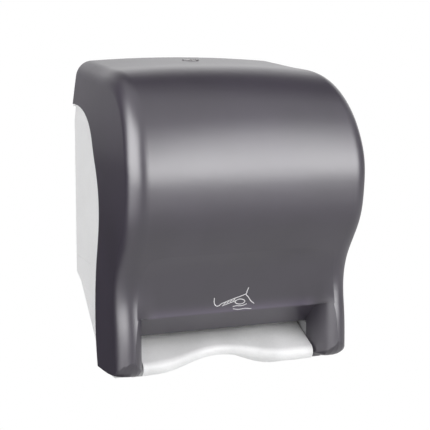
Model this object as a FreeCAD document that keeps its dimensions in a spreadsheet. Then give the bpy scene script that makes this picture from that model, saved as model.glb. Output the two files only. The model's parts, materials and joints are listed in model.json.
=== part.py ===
import FreeCAD, Part
import math
import os
import re

import Sketcher

# Automatic roll towel dispenser, wall hung.
# Frame: X to the right, Y into the wall with the wall face at Y = 0, Z up.
# The origin is the centre of the four wall screw holes, on the wall face.
# Every height in the sheet is measured up from the feet of the cover's legs, and
# datum_height is how far the origin lies above those feet.

os.makedirs("parts", exist_ok=True)
doc = FreeCAD.newDocument("TowelDispenser")
sheet = doc.addObject("Spreadsheet::Sheet", "Sizes")

SIZES = {
    "datum_height": (236.2, "origin above the feet of the legs"),
    "screw_span_x": (203.2, "wall screws, side to side"),
    "screw_span_z": (152.4, "wall screws, up and down"),
    "screw_hole_radius": (2.75, "wall screw hole"),
    "cover_width": (298.0, "outside width of the cover"),
    "cover_height": (367.0, "top of the cover at the wall"),
    "cover_wall": (3.0, "wall thickness of the cover"),
    "edge_roll": (21.6, "radius where front rolls into side"),
    "side_lean": (13.8, "how far each side leans in at the top"),
    "lean_start": (246.0, "height where the sides start to lean"),
    "front_crown": (6.7, "how far the top falls from middle to side"),
    "foot_radius": (26.0, "rounding under the front of each leg"),
    "leg_gap_half": (112.0, "half the gap between the legs"),
    "arch_height": (39.7, "lower edge of the lip over the gap"),
    "arch_depth": (138.0, "lower edge of the lip from the wall"),
    "crease_height": (64.5, "bend above the lip"),
    "crease_depth": (163.0, "bend above the lip, from the wall"),
    "hinge_depth": (140.0, "cover hinge from the wall"),
    "hinge_height": (2.0, "cover hinge height"),
    "knuckle_radius": (9.0, "cover hinge knuckle"),
    "hinge_pin_radius": (3.0, "cover hinge pin"),
    "running_gap": (0.05, "radial clearance of a running fit"),
    "housing_half": (141.5, "half width of the housing"),
    "housing_wall": (2.8, "side walls of the housing"),
    "back_wall": (3.0, "back, top and sloped walls of the housing"),
    "housing_top": (358.5, "top of the housing at the wall"),
    "cheek_face": (112.6, "inner face of each chassis cheek"),
    "cheek_wall": (3.0, "thickness of each chassis cheek"),
    "drive_depth": (96.0, "drive roller axis from the wall"),
    "drive_height": (70.0, "drive roller axis height"),
    "drive_radius": (12.5, "rubber drive roller"),
    "drive_shaft_radius": (4.0, "drive shaft"),
    "pinch_depth": (116.4, "pinch roller axis from the wall"),
    "pinch_height": (74.5, "pinch roller axis height"),
    "pinch_radius": (8.0, "pinch roller"),
    "pinch_shaft_radius": (2.5, "pinch shaft"),
    "pivot_depth": (122.0, "pinch bracket pivot from the wall"),
    "pivot_height": (97.0, "pinch bracket pivot height"),
    "motor_depth": (70.0, "motor axis from the wall"),
    "motor_height": (92.0, "motor axis height"),
    "motor_radius": (12.2, "motor can"),
    "motor_length": (31.0, "motor can"),
    "gear_width": (6.0, "face width of the gears"),
    "arm_face": (114.5, "inner face of each roll arm"),
    "arm_wall": (4.0, "roll arm thickness"),
    "arm_pivot_x": (118.0, "roll arm pivot from the middle"),
    "arm_pivot_depth": (10.0, "roll arm pivot from the wall"),
    "roll_depth": (114.0, "paper roll axis from the wall"),
    "roll_height": (240.0, "paper roll axis height"),
    "hub_radius": (18.6, "nose that enters the paper core"),
    "hub_flange_radius": (33.0, "flange beside the paper"),
    "axle_radius": (4.0, "hub axle on the arm"),
    "cell_radius": (17.0, "battery cell"),
    "cell_length": (61.0, "battery cell"),
    "cell_depth": (24.6, "battery row axis from the wall"),
    "cell_height": (124.4, "battery row axis height"),
    "panel_face": (133.0, "front of the control housing from the wall"),
    "button_height": (111.0, "feed button height"),
    "button_radius": (5.0, "feed button"),
    "lock_depth": (36.0, "lock axis from the wall"),
    "lock_radius": (8.0, "lock barrel"),
}
for row, (alias, (value, note)) in enumerate(SIZES.items(), 1):
    sheet.set(f"A{row}", note)
    sheet.set(f"B{row}", str(value))
    sheet.setAlias(f"B{row}", alias)
doc.recompute()

ALIAS_WORD = re.compile(r"\b(?:" + "|".join(sorted(SIZES, key=len, reverse=True)) + r")\b")
Z_AXIS = FreeCAD.Vector(0, 0, 1)
TURN = {
    "X": FreeCAD.Rotation(FreeCAD.Vector(0, 1, 0), 90),
    "Y": FreeCAD.Rotation(FreeCAD.Vector(1, 0, 0), -90),
    "Z": FreeCAD.Rotation(),
}
SIDES = (("left", -1), ("right", 1))
pieces = []


class Size:
    """A driving dimension by name, read from the sheet."""

    def __getattr__(self, alias):
        return float(sheet.get(alias))


size = Size()


def rule(text):
    """A sheet formula from plain text: every alias gets its sheet name."""
    return ALIAS_WORD.sub(lambda found: "Sizes." + found.group(0), str(text))


def number(text):
    """What a formula comes to now."""
    return float(sheet.evalExpression(rule(text)))


def bind(item, **formulas):
    for name, text in formulas.items():
        item.setExpression(name, rule(text))


def place(item, x, y, z):
    """Puts an object at x, y and a height above the feet."""
    item.setExpression("Placement.Base.x", rule(x))
    item.setExpression("Placement.Base.y", rule(y))
    item.setExpression("Placement.Base.z", rule(f"({z}) - datum_height"))


def keep(item, label):
    """Marks an object as one finished sub-part."""
    item.Label = label
    pieces.append(item)
    return item


def block(name, length, width, height, x, y, z):
    """A box from its low corner."""
    item = doc.addObject("Part::Box", name)
    bind(item, Length=length, Width=width, Height=height)
    place(item, x, y, z)
    return item


def rod(name, radius, length, x, y, z, axis="X"):
    """A cylinder that starts at a point and runs along an axis."""
    item = doc.addObject("Part::Cylinder", name)
    item.Placement.Rotation = TURN[axis]
    bind(item, Radius=radius, Height=length)
    place(item, x, y, z)
    return item


def join(name, items):
    item = doc.addObject("Part::MultiFuse", name)
    item.Shapes = items
    return item


def carve(name, base, tools):
    """A base with one or more tools cut out of it."""
    item = doc.addObject("Part::Cut", name)
    item.Base = base
    item.Tool = tools[0] if len(tools) == 1 else join(name + "_voids", tools)
    return item


def group(name, items):
    """Separate solids that share one node."""
    item = doc.addObject("Part::Compound", name)
    item.Links = items
    return item


def solid_feature(name, shape):
    """A shape made with Part functions, in heights above the feet."""
    item = doc.addObject("Part::Feature", name)
    item.Shape = shape
    item.setExpression("Placement.Base.z", rule("-datum_height"))
    return item


def tube(name, outer, inner, length, x, y, z, axis="X"):
    """A ring or tube that starts at a point and runs along an axis."""
    skin = rod(name + "_skin", outer, length, x, y, z, axis)
    bore = rod(name + "_bore", inner, length, x, y, z, axis)
    return carve(name, skin, [bore])


def screw(name, radius, length, head_radius, head_length, spot, axis, forward=True):
    """A screw: its shank starts under the head at a spot and runs along an axis, or back."""
    along = {"X": 0, "Y": 1, "Z": 2}[axis]
    shank_spot, head_spot = list(spot), list(spot)
    if forward:
        head_spot[along] = f"({spot[along]}) - ({head_length})"
    else:
        shank_spot[along] = f"({spot[along]}) - ({length})"
    shank = rod(name + "_shank", radius, length, *shank_spot, axis)
    head = rod(name + "_head", head_radius, head_length, *head_spot, axis)
    return join(name, [shank, head])


def low_x(sign, inner, outer):
    """The low X of a piece that spans inner to outer on one side."""
    return f"{inner}" if sign > 0 else f"-({outer})"


def new_body(name, x="0", y="0", z="0"):
    body = doc.addObject("PartDesign::Body", name)
    place(body, x, y, z)
    return body


def new_sketch(body, plane_role, name):
    sketch = body.newObject("Sketcher::SketchObject", name)
    plane = next(item for item in body.Origin.OriginFeatures if item.Role == plane_role)
    sketch.AttachmentSupport = [(plane, "")]
    sketch.MapMode = "FlatFace"
    return sketch


def draw_polygon(sketch, corners):
    """Closed straight outline with every corner bound to the sheet."""
    spots = [FreeCAD.Vector(number(a), number(b), 0) for a, b in corners]
    first = sketch.GeometryCount
    for here, there in zip(spots, spots[1:] + spots[:1]):
        sketch.addGeometry(Part.LineSegment(here, there), False)
    count = len(corners)
    for step in range(count):
        following = first + (step + 1) % count
        sketch.addConstraint(Sketcher.Constraint("Coincident", first + step, 2, following, 1))
    for step, (a, b) in enumerate(corners):
        for kind, text in (("DistanceX", a), ("DistanceY", b)):
            index = sketch.addConstraint(
                Sketcher.Constraint(kind, -1, 1, first + step, 1, number(text)))
            sketch.setExpression(f"Constraints[{index}]", rule(text))


def draw_circle(sketch, a, b, radius):
    """Circle with its centre and radius bound to the sheet."""
    centre = FreeCAD.Vector(number(a), number(b), 0)
    shape = Part.Circle(centre, FreeCAD.Vector(0, 0, 1), number(radius))
    index = sketch.addGeometry(shape, False)
    bonds = (("DistanceX", (-1, 1, index, 3), a), ("DistanceY", (-1, 1, index, 3), b))
    for kind, ends, text in bonds:
        spot = sketch.addConstraint(Sketcher.Constraint(kind, *ends, number(text)))
        sketch.setExpression(f"Constraints[{spot}]", rule(text))
    spot = sketch.addConstraint(Sketcher.Constraint("Radius", index, number(radius)))
    sketch.setExpression(f"Constraints[{spot}]", rule(radius))


def pad(body, sketch, length, both_ways=False):
    feature = body.newObject("PartDesign::Pad", sketch.Name + "_pad")
    feature.Profile = sketch
    feature.Midplane = both_ways
    bind(feature, Length=length)
    return feature


def pocket(body, sketch, length, both_ways=False, reverse=False):
    feature = body.newObject("PartDesign::Pocket", sketch.Name + "_pocket")
    feature.Profile = sketch
    feature.Midplane = both_ways
    feature.Reversed = reverse
    bind(feature, Length=length)
    return feature


def revolve(body, sketch):
    """Turns a sketch about its own vertical axis."""
    feature = body.newObject("PartDesign::Revolution", sketch.Name + "_turned")
    feature.Profile = sketch
    feature.ReferenceAxis = (sketch, ["V_Axis"])
    feature.Angle = 360
    return feature


def soften(body, base, radius, axis):
    """Rounds the straight edges of a feature that run along one axis."""
    doc.recompute()
    names = []
    for place_number, edge in enumerate(base.Shape.Edges, 1):
        if len(edge.Vertexes) == 2 and edge.Curve.TypeId == "Part::GeomLine":
            direction = edge.Vertexes[1].Point - edge.Vertexes[0].Point
            if abs(abs(direction.normalize().dot(axis)) - 1) < 1e-6:
                names.append(f"Edge{place_number}")
    feature = body.newObject("PartDesign::Fillet", base.Name + "_rounds")
    feature.Base = (base, names)
    feature.Radius = radius
    return feature


# Cover outline, seen from the side: distance from the wall, height.
# The top falls gently, turns over the front, bellies out and draws in to a waist.
FRONT_OUTLINE = [
    (0, 367), (45, 362.4), (90, 357.9), (130, 354.1), (169.8, 341.2), (216, 295),
    (226, 270), (232, 240), (231, 210), (225, 180), (209, 150), (191, 120),
    (185, 90), (188, 60), (190, 30), (190, 0), (190, -30),
]
# Rear edge of the cover's side panels, from the hook at the wall down to the foot.
REAR_EDGE = [
    (0, 309), (43, 303.1), (74, 286.4), (101.2, 246.7), (115.7, 201), (114.3, 165.6),
    (104.1, 122.4), (98.1, 73), (98.6, 36.7), (104.6, 0),
]
# Front of the dish between the legs, from below the bend above the lip up to the belly.
DISH_OUTLINE = [
    (158.8, 58), (163, 64.5), (168, 72), (171.8, 80), (176, 90), (182.2, 105), (188.6, 120),
    (197.9, 135), (209.8, 150), (218.6, 165), (227, 182),
]
# How the dish curls forward into a leg: distance from the middle, share of the way forward.
DISH_CURL = [
    (0, 0), (60, 0), (90, 0), (98, 0.03), (105, 0.14), (111, 0.33), (117, 0.58), (123, 0.82),
    (130, 1.05),
]
# The dish's curl runs this far past the cover's front, so that the cut leaves no skin.
DISH_SPARE = 0.6
# Inner side of the right leg, seen from above: distance from the middle, depth.
LEG_PLAN = [
    (112, 135), (112.2, 146), (113.6, 158), (116.2, 168.5), (119.6, 177.5), (123.6, 184),
    (127.6, 187.7), (132, 190.6), (136, 192.6),
]
# The ledge from the bend above the lip forward into each leg climbs this much per mm.
LEDGE_RISE = 0.3
# What is cut away between the legs runs from this depth to this one, and down to this height.
GAP_REAR = 95
GAP_FRONT = 260
GAP_LOW = -20
# How the wall's inner side stands back at the bend above the lip and at the lip, per mm of wall:
# towards the wall, upwards.
CREASE_INWARD = (0.9, 0.4)
LIP_INWARD = (0.7, 0.7)
# Rounding under a foot, step by step round it: direction in degrees from straight ahead,
# radius, and on the inner side also how far the foot reaches in that direction.
FOOT_OUTER_STEPS = [(20, 24), (40, 20), (60, 14), (80, 7)]
FOOT_INNER_STEPS = [(-30, 20, 99.0), (-60, 12, -14.5), (-88, 8, -106.7)]
FOOT_SPARE = 0.1
FOOT_STEEPEST = math.radians(78)
# Past its arc the cut under a foot goes on straight for FOOT_RUN, and reaches FOOT_BEYOND further out.
FOOT_RUN = 5
FOOT_BEYOND = 40
FOOT_LOW = -60
FOOT_HALF = 60
BIG = 400.0
LOCK_BOSS = 6.0


def side_point(depth, height, x=0.0):
    return FreeCAD.Vector(x, -depth, height)


def smooth(points):
    curve = Part.BSplineCurve()
    curve.interpolate(points)
    return curve


def straight(points):
    return [Part.makeLine(a, b) for a, b in zip(points, points[1:])]


def shifted(points, inward):
    """Moves a curve's points square to it; inward is a length or a rule of the point."""
    curve = smooth(points)
    moved = []
    for point in points:
        along = curve.tangent(curve.parameter(point))[0]
        across = FreeCAD.Vector(0, -along.z, along.y)
        amount = inward(point) if callable(inward) else inward
        moved.append(point + across * amount)
    return moved


def half_width(height, inset):
    """Half the cover's width at a height: straight, then leaning in."""
    climb = (height - size.lean_start) / (size.cover_height - size.lean_start)
    return size.cover_width / 2 - inset - size.side_lean * max(climb, 0) ** 1.5


def prism_along_x(wire, low, high):
    """A flat outline in a plane of constant X, extruded from low to high."""
    face = Part.Face(wire)
    face.translate(FreeCAD.Vector(low, 0, 0))
    return face.extrude(FreeCAD.Vector(high - low, 0, 0))


def frontal_prism(inset):
    """Everything between the two leaning sides, moved in by inset."""
    heights = [size.lean_start, 275, 305, 335, 355, size.cover_height + 8]
    right = [FreeCAD.Vector(half_width(z, inset), 20, z) for z in heights]
    left = [FreeCAD.Vector(-p.x, p.y, p.z) for p in right]
    curves = []
    for side in (right, left):
        curve = Part.BSplineCurve()
        curve.interpolate(Points=side, InitialTangent=Z_AXIS, FinalTangent=side[-1] - side[-2])
        curves.append(curve.toShape())
    low_right = FreeCAD.Vector(right[0].x, 20, -60)
    low_left = FreeCAD.Vector(left[0].x, 20, -60)
    edges = curves + straight([right[0], low_right, low_left, left[0]]) + straight([right[-1], left[-1]])
    wire = Part.Wire(Part.sortEdges(edges)[0])
    return Part.Face(wire).extrude(FreeCAD.Vector(0, -BIG, 0))


def envelope_section(x, inset):
    """Side outline of the cover at one X, with the crown's fall, closed behind the wall."""
    sideways = (x / (size.cover_width / 2)) ** 2

    def fall(point):
        near_top = min(max((point.z - 250) / 100, 0), 1)
        return inset + size.front_crown * sideways * near_top

    points = [side_point(-20, 369.04)] + [side_point(*pair) for pair in FRONT_OUTLINE]
    points = [FreeCAD.Vector(x, p.y, p.z) for p in shifted(points, fall)]
    back_low = FreeCAD.Vector(x, 20, points[-1].z)
    edges = [smooth(points).toShape()] + straight([points[-1], back_low, points[0]])
    return Part.Wire(edges)


def foot_prism(inset):
    """Region above the rounding under the front of the legs."""
    radius = size.foot_radius - inset
    depth = FRONT_OUTLINE[-1][0] - size.foot_radius
    height = size.foot_radius
    slant = math.sqrt(0.5) * radius
    start = side_point(depth + radius, height)
    middle = side_point(depth + slant, height - slant)
    end = side_point(depth, inset)
    corners = [end, side_point(-30, inset), side_point(-30, 420), side_point(300, 420),
               side_point(300, height), start]
    edges = [Part.Arc(start, middle, end).toShape()] + straight(corners)
    return prism_along_x(Part.Wire(edges), -BIG / 2, BIG / 2)


def foot_corner(reach, radius, inset):
    """Side outline of what is cut from under a foot: a rounding that runs out steeply."""
    bend = radius - inset
    centre = reach - inset - bend

    def spot(angle):
        return side_point(centre + bend * math.sin(angle), inset + bend * (1 - math.cos(angle)))

    low, middle, high = spot(0), spot(FOOT_STEEPEST / 2), spot(FOOT_STEEPEST)
    depth = FOOT_RUN - high.y
    beyond = depth + FOOT_BEYOND
    rise = high.z + FOOT_RUN * math.tan(FOOT_STEEPEST)
    corners = [high, side_point(depth, rise), side_point(beyond, rise), side_point(beyond, FOOT_LOW),
               side_point(-low.y, FOOT_LOW), low]
    return Part.Wire([Part.Arc(low, middle, high).toShape()] + straight(corners))


def foot_roundings(inset):
    """What is cut from under both feet, step by step round each."""
    roll_x = size.cover_width / 2 - size.edge_roll
    roll_depth = FRONT_OUTLINE[-1][0] - size.edge_roll
    steps = list(FOOT_INNER_STEPS)
    for turn, radius in FOOT_OUTER_STEPS:
        angle = math.radians(turn)
        reach = roll_x * math.sin(angle) + roll_depth * math.cos(angle) + size.edge_roll
        steps.append((turn, radius, reach + FOOT_SPARE))
    tools = []
    for turn, radius, reach in steps:
        angle = math.radians(turn)
        middle = roll_x * math.cos(angle) - roll_depth * math.sin(angle)
        outline = foot_corner(reach, radius, inset)
        tool = prism_along_x(outline, middle - FOOT_HALF, middle + FOOT_HALF)
        tool.rotate(FreeCAD.Vector(), Z_AXIS, turn)
        tools += [tool, tool.mirror(FreeCAD.Vector(), FreeCAD.Vector(1, 0, 0))]
    return tools


def envelope(inset, with_feet=True):
    """Solid inside the cover's outer skin, moved in by inset."""
    edge_x = size.cover_width / 2 + 1
    sections = [envelope_section(x, inset) for x in (-edge_x, 0, edge_x)]
    solid = Part.makeLoft(sections, True).common(frontal_prism(inset))
    rolled = []
    for edge in solid.Edges:
        middle = edge.valueAt((edge.FirstParameter + edge.LastParameter) / 2)
        beside = abs(abs(middle.x) - half_width(middle.z, inset)) < 0.5
        if beside and edge.Length > 60 and middle.y < 19 and middle.z > -25:
            rolled.append(edge)
    solid = solid.makeFillet(size.edge_roll - inset, rolled)
    if not with_feet:
        return solid
    return solid.common(foot_prism(inset)).cut(foot_roundings(inset))


def outline_wire(points, corners):
    """A smooth line through points, closed by straight lines through corners."""
    edges = [smooth(points).toShape()] + straight([points[-1]] + corners + [points[0]])
    return Part.Wire(edges)


def front_depth(height):
    """Depth of the cover's front at a height."""
    front = smooth([side_point(*pair) for pair in FRONT_OUTLINE]).toShape()
    level = Part.makeLine(side_point(100, height), side_point(260, height))
    return -front.distToShape(level)[1][0][0].y


def into_cover(surface, point):
    """The surface's normal at a point, on the side of the wall."""
    normal = surface.normal(*surface.parameter(point))
    return normal if normal.y > 0 else normal * -1


def dish_surface(inward):
    """Front of the dish, curling forward into the legs, moved into the cover by inward."""
    rows = []
    for depth, height in DISH_OUTLINE:
        way = front_depth(height) + DISH_SPARE - depth
        half = [(x, depth + way * share) for x, share in DISH_CURL]
        whole = [(-x, d) for x, d in half[:0:-1]] + half
        rows.append([side_point(d, height, x) for x, d in whole])
    outside = Part.BSplineSurface()
    outside.interpolate(rows)
    if not inward:
        return outside
    inside = Part.BSplineSurface()
    inside.interpolate([[p + into_cover(outside, p) * inward for p in row] for row in rows])
    return inside


def ledge_height(depth):
    """Height of the ledge from the bend above the lip into a leg, at a depth."""
    return size.crease_height + LEDGE_RISE * (depth - size.crease_depth)


def above_ledge(lift):
    """Everything above the ledge, which is raised by lift."""
    back, front, top = 100, 300, 260
    corners = [side_point(back, ledge_height(back) + lift), side_point(front, ledge_height(front) + lift),
               side_point(front, top), side_point(back, top)]
    return prism_along_x(Part.makePolygon(corners + corners[:1]), -BIG / 2, BIG / 2)


def between_legs(inward):
    """Room between the legs, seen from above, moved into them by inward."""
    points = [FreeCAD.Vector(x, -depth, GAP_LOW) for x, depth in LEG_PLAN]
    curve = smooth(points)
    right = []
    for point in points:
        along = curve.tangent(curve.parameter(point))[0]
        right.append(point + FreeCAD.Vector(-along.y, along.x, 0) * inward)
    left = [FreeCAD.Vector(-p.x, p.y, p.z) for p in right]
    edges = [smooth(right).toShape(), smooth(left).toShape()]
    for end, depth in ((0, GAP_REAR), (-1, GAP_FRONT)):
        x = right[end].x
        corners = [FreeCAD.Vector(x, -depth, GAP_LOW), FreeCAD.Vector(-x, -depth, GAP_LOW)]
        edges += straight([right[end]] + corners + [left[end]])
    wire = Part.Wire(Part.sortEdges(edges)[0])
    return Part.Face(wire).extrude(FreeCAD.Vector(0, 0, 120))


def lip_line(inward):
    """The bend above the lip and the lip's lower edge, moved back by inward."""
    back, up = CREASE_INWARD
    crease = side_point(size.crease_depth - back * inward, size.crease_height + up * inward)
    back, up = LIP_INWARD
    lip = side_point(size.arch_depth - back * inward, size.arch_height + up * inward)
    return crease, lip


def prism_of_corners(corners, half):
    """A straight-sided outline, extruded to both sides of the middle."""
    return prism_along_x(Part.makePolygon(corners + corners[:1]), -half, half)


def dish_void(inward=0.0):
    """All that is cut away between the legs; inward grows it into the cover by a wall."""
    lift = inward * math.hypot(1, LEDGE_RISE)
    front = side_point(GAP_FRONT, ledge_height(GAP_FRONT) + lift)
    front_low = side_point(GAP_FRONT, GAP_LOW)
    belly = dish_surface(inward).toShape().extrude(FreeCAD.Vector(0, -120, 0))
    parts = [belly.common(above_ledge(lift - 2))]
    crease, lip = lip_line(inward)
    top = [crease, front]
    rear = GAP_REAR
    if inward:
        rear = size.hinge_depth + 2
        ledge_start = size.crease_depth - CREASE_INWARD[0]
        top.insert(1, side_point(ledge_start, ledge_height(ledge_start) + lift))
        outer_lip = lip_line(0)[1]
        middle = [crease, front, front_low, side_point(size.arch_depth, GAP_LOW), outer_lip, lip]
        parts.append(prism_of_corners(middle, size.leg_gap_half))
    corners = top + [front_low, side_point(rear, GAP_LOW), side_point(rear, size.arch_height), lip]
    parts.append(prism_of_corners(corners, BIG / 2).common(between_legs(inward)))
    return parts[0].fuse(parts[1:])


def rear_line(offset):
    """Rear edge of the side panels, moved towards the wall by offset."""
    return shifted([side_point(*pair) for pair in REAR_EDGE], offset)


def behind_side_panels():
    points = rear_line(0)
    foot = side_point(104.6, -20)
    corners = [foot, side_point(-30, -20), side_point(-30, 309)]
    return prism_along_x(outline_wire(points, corners), -BIG / 2, BIG / 2)


def round_rod(radius, low_end, axis, length):
    return Part.makeCylinder(radius, length, low_end, axis)


def cover_shape():
    """The swinging cover: one moulded shell with two legs and hinge knuckles."""
    wall = size.cover_wall
    in_front = Part.makeBox(BIG, BIG, 2 * BIG, FreeCAD.Vector(-BIG / 2, -BIG, -BIG))
    outer = envelope(0).common(in_front)
    room = envelope(wall).cut(dish_void(wall))
    shell = outer.cut([room, behind_side_panels(), dish_void()])
    floor_half = size.cover_width / 2 - wall - 0.2
    floor = Part.makeBox(2 * floor_half, 150, 12, FreeCAD.Vector(-floor_half, -152, -6))
    behind_half = 118
    behind_front = size.hinge_depth + 2
    behind_legs = Part.makeBox(2 * behind_half, behind_front - GAP_REAR, 60,
                               FreeCAD.Vector(-behind_half, -behind_front, GAP_LOW))
    shell = shell.cut([floor, behind_legs])
    walls = []
    x_axis = FreeCAD.Vector(1, 0, 0)
    pins = []
    for sign in (-1, 1):
        low = min(sign * size.leg_gap_half, sign * (size.leg_gap_half + 18))
        centre = side_point(size.hinge_depth, size.hinge_height, low)
        walls.append(round_rod(size.knuckle_radius, centre, x_axis, 18))
        pins.append(round_rod(size.hinge_pin_radius + size.running_gap, centre, x_axis, 18))
    down = lock_direction()
    seat = lock_top() + down * (wall - 0.5)
    walls.append(round_rod(size.lock_radius + 4, seat, down, LOCK_BOSS))
    pins.append(round_rod(size.lock_radius + size.running_gap, lock_top() - down * 10, down, 40))
    return shell.fuse(walls).cut(pins).removeSplitter()


def lock_direction():
    """Straight down through the cover's top, square to its slope."""
    slope = math.atan2(367 - 354.1, 130)
    return FreeCAD.Vector(0, math.sin(slope), -math.cos(slope))


def lock_top():
    """Where the lock's axis meets the outside of the cover's top."""
    fall = (367 - 354.1) / 130
    return side_point(size.lock_depth, size.cover_height - fall * size.lock_depth)


# Housing, seen from the side.
SLOPE = [(0, 98.5), (18.4, 88), (38, 66), (65.7, 35.1), (92.3, 4)]
HOUSING_BOTTOM = 4.0
HOUSING_FRONT = [
    (22, 346), (34, 326), (58, 312), (88, 294), (114, 252), (128, 203), (127, 165),
    (117, 122), (111, 73), (112, 36), (118, 10),
]
# Line of the joint on each side of the housing, and the places of what is fixed to it.
SEAM = [(0, 120), (15.6, 118.8), (55.4, 115.8)]
CHASSIS_POSTS = ((68, 121), (114, 15))
ARM_EARS = (214, 258.5)
ARM_EAR_HEIGHT = 7.5
STRIKE_SEAT = 342.6
STRIKE_SCREWS_X = (29, 39)
TRAY_SCREWS_X = (-61, 61)
TRAY_SCREW_HEIGHT = 113.0


def housing_shape():
    """Back, sloped lower back, sides, top and bottom of the wall housing."""
    wall = size.back_wall
    half = size.housing_half
    top_fall = (367 - 354.1) / 130
    front = [side_point(*pair) for pair in HOUSING_FRONT]
    top_front = side_point(20, size.housing_top - top_fall * 20)
    corners = [side_point(103, HOUSING_BOTTOM)] + [side_point(*pair) for pair in reversed(SLOPE)]
    corners += [side_point(0, size.housing_top), top_front]
    clearance = size.cover_wall + 1.5
    outer = prism_along_x(outline_wire(front, corners), -half, half).common(envelope(clearance, False))
    inside = [side_point(3, 101.2), side_point(20.6, 91.2), side_point(40.6, 68.2),
              side_point(67.9, 37.4), side_point(93.7, HOUSING_BOTTOM + wall),
              side_point(300, HOUSING_BOTTOM + wall),
              side_point(300, size.housing_top - wall - top_fall * 300),
              side_point(3, size.housing_top - wall), side_point(3, 101.2)]
    room = half - size.housing_wall
    hollow = prism_along_x(Part.makePolygon(inside), -room, room)
    hollow = hollow.common(envelope(clearance + size.housing_wall, False))
    shell = outer.cut(hollow)
    adds = [rim_shape(sign, clearance) for sign in (-1, 1)]
    x_axis = FreeCAD.Vector(1, 0, 0)
    y_axis = FreeCAD.Vector(0, 1, 0)
    cuts = []
    for sign in (-1, 1):
        lug_low = min(sign * 131, sign * 139.5)
        centre = side_point(size.hinge_depth, size.hinge_height, lug_low)
        adds.append(round_rod(size.knuckle_radius, centre, x_axis, 8.5))
        adds.append(Part.makeBox(8.5, 40, 18, FreeCAD.Vector(lug_low, -size.hinge_depth, -7)))
        cuts.append(round_rod(size.hinge_pin_radius, side_point(140, 2, lug_low - 1), x_axis, 11))
        for depth, height in CHASSIS_POSTS:
            face = size.cheek_face + size.cheek_wall
            outward = FreeCAD.Vector(sign, 0, 0)
            start = side_point(depth, height, sign * face)
            adds.append(round_rod(5, start, outward, 139.5 - face))
            cuts.append(round_rod(1.25, start, outward, 139.5 - face - 6))
        for low in ARM_EARS:
            ear = FreeCAD.Vector(sign * size.arm_pivot_x - 6, -16, low)
            adds.append(Part.makeBox(12, 13.5, ARM_EAR_HEIGHT, ear))
            cuts.append(round_rod(2.5, side_point(size.arm_pivot_depth, low - 1, sign * size.arm_pivot_x),
                                  FreeCAD.Vector(0, 0, 1), ARM_EAR_HEIGHT + 2))
        for level in (-1, 1):
            hole = FreeCAD.Vector(sign * size.screw_span_x / 2, -10,
                                  size.datum_height + level * size.screw_span_z / 2)
            cuts.append(round_rod(size.screw_hole_radius, hole, y_axis, 20))
        groove = [side_point(d, h - 0.35) for d, h in SEAM]
        groove += [side_point(d, h + 0.35) for d, h in SEAM[::-1]]
        low, high = sorted((sign * (half - 0.4), sign * (half + 1)))
        cuts.append(prism_along_x(Part.makePolygon(groove + groove[:1]), low, high))
    adds.append(Part.makeBox(20, 14, 13.6, FreeCAD.Vector(24, -19.5, STRIKE_SEAT)))
    cuts += [round_rod(1.25, side_point(12.5, STRIKE_SEAT, x), Z_AXIS, 9) for x in STRIKE_SCREWS_X]
    cuts += [round_rod(1.5, side_point(5, TRAY_SCREW_HEIGHT, x), y_axis, 4.4) for x in TRAY_SCREWS_X]
    return shell.fuse(adds).cut(cuts).removeSplitter()


def rim_shape(sign, clearance):
    """The raised rim on one side that the cover's rear edge closes against."""
    near, far = rear_line(0.6), rear_line(2.8)
    edges = [smooth(near).toShape(), smooth(far).toShape()]
    edges += straight([near[0], far[0]]) + straight([near[-1], far[-1]])
    wire = Part.Wire(Part.sortEdges(edges)[0])
    low, high = sorted((sign * (size.housing_half - 5), sign * (size.cover_width / 2 - 1)))
    behind_wall = Part.makeBox(BIG, BIG, 2 * BIG, FreeCAD.Vector(-BIG / 2, 0, -BIG))
    return prism_along_x(wire, low, high).cut(behind_wall).common(frontal_prism(1.0))


# Chute nose, seen from the side. In the middle the nose draws up and back in a
# wave, where a hand goes under it.
NOSE_CENTRE = (152.8, 5.05)
NOSE_RADIUS = 9.33
WAVE_SHIFT = (10.96, 10.87)
WAVE_THINNING = 2.09
WAVE_HALF = 86.0
WAVE_MIDDLE = -9.8
CHUTE_HALF = 111.4
CHUTE_WALL = 2.4
CHUTE_HEM = (119.0, -14.6)
HEM_RISE = 21.5
GUIDE_TOP = (107.0, 54.0)
CHUTE_TOP = (112.5, 36.8)
# Screws through the cheeks into the ends of the chute, and the sensor's lead beside them.
CHUTE_SCREWS = ((134, 18), (109.2, 32))
CHUTE_BOSSES = (4.0, 3.0)
SENSOR_LEAD_SPOT = (120, 22)
SENSOR_BOARD_HEIGHT = 11.6
SENSOR_EYES = (WAVE_MIDDLE - 7, WAVE_MIDDLE + 7)
LEAD_HOLE = 2.5


def wave(x):
    """1 in the middle of the wave, falling smoothly to 0 at its ends."""
    reach = abs(x - WAVE_MIDDLE) / WAVE_HALF
    return math.cos(math.pi / 2 * reach) ** 2 if reach < 1 else 0.0


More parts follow.
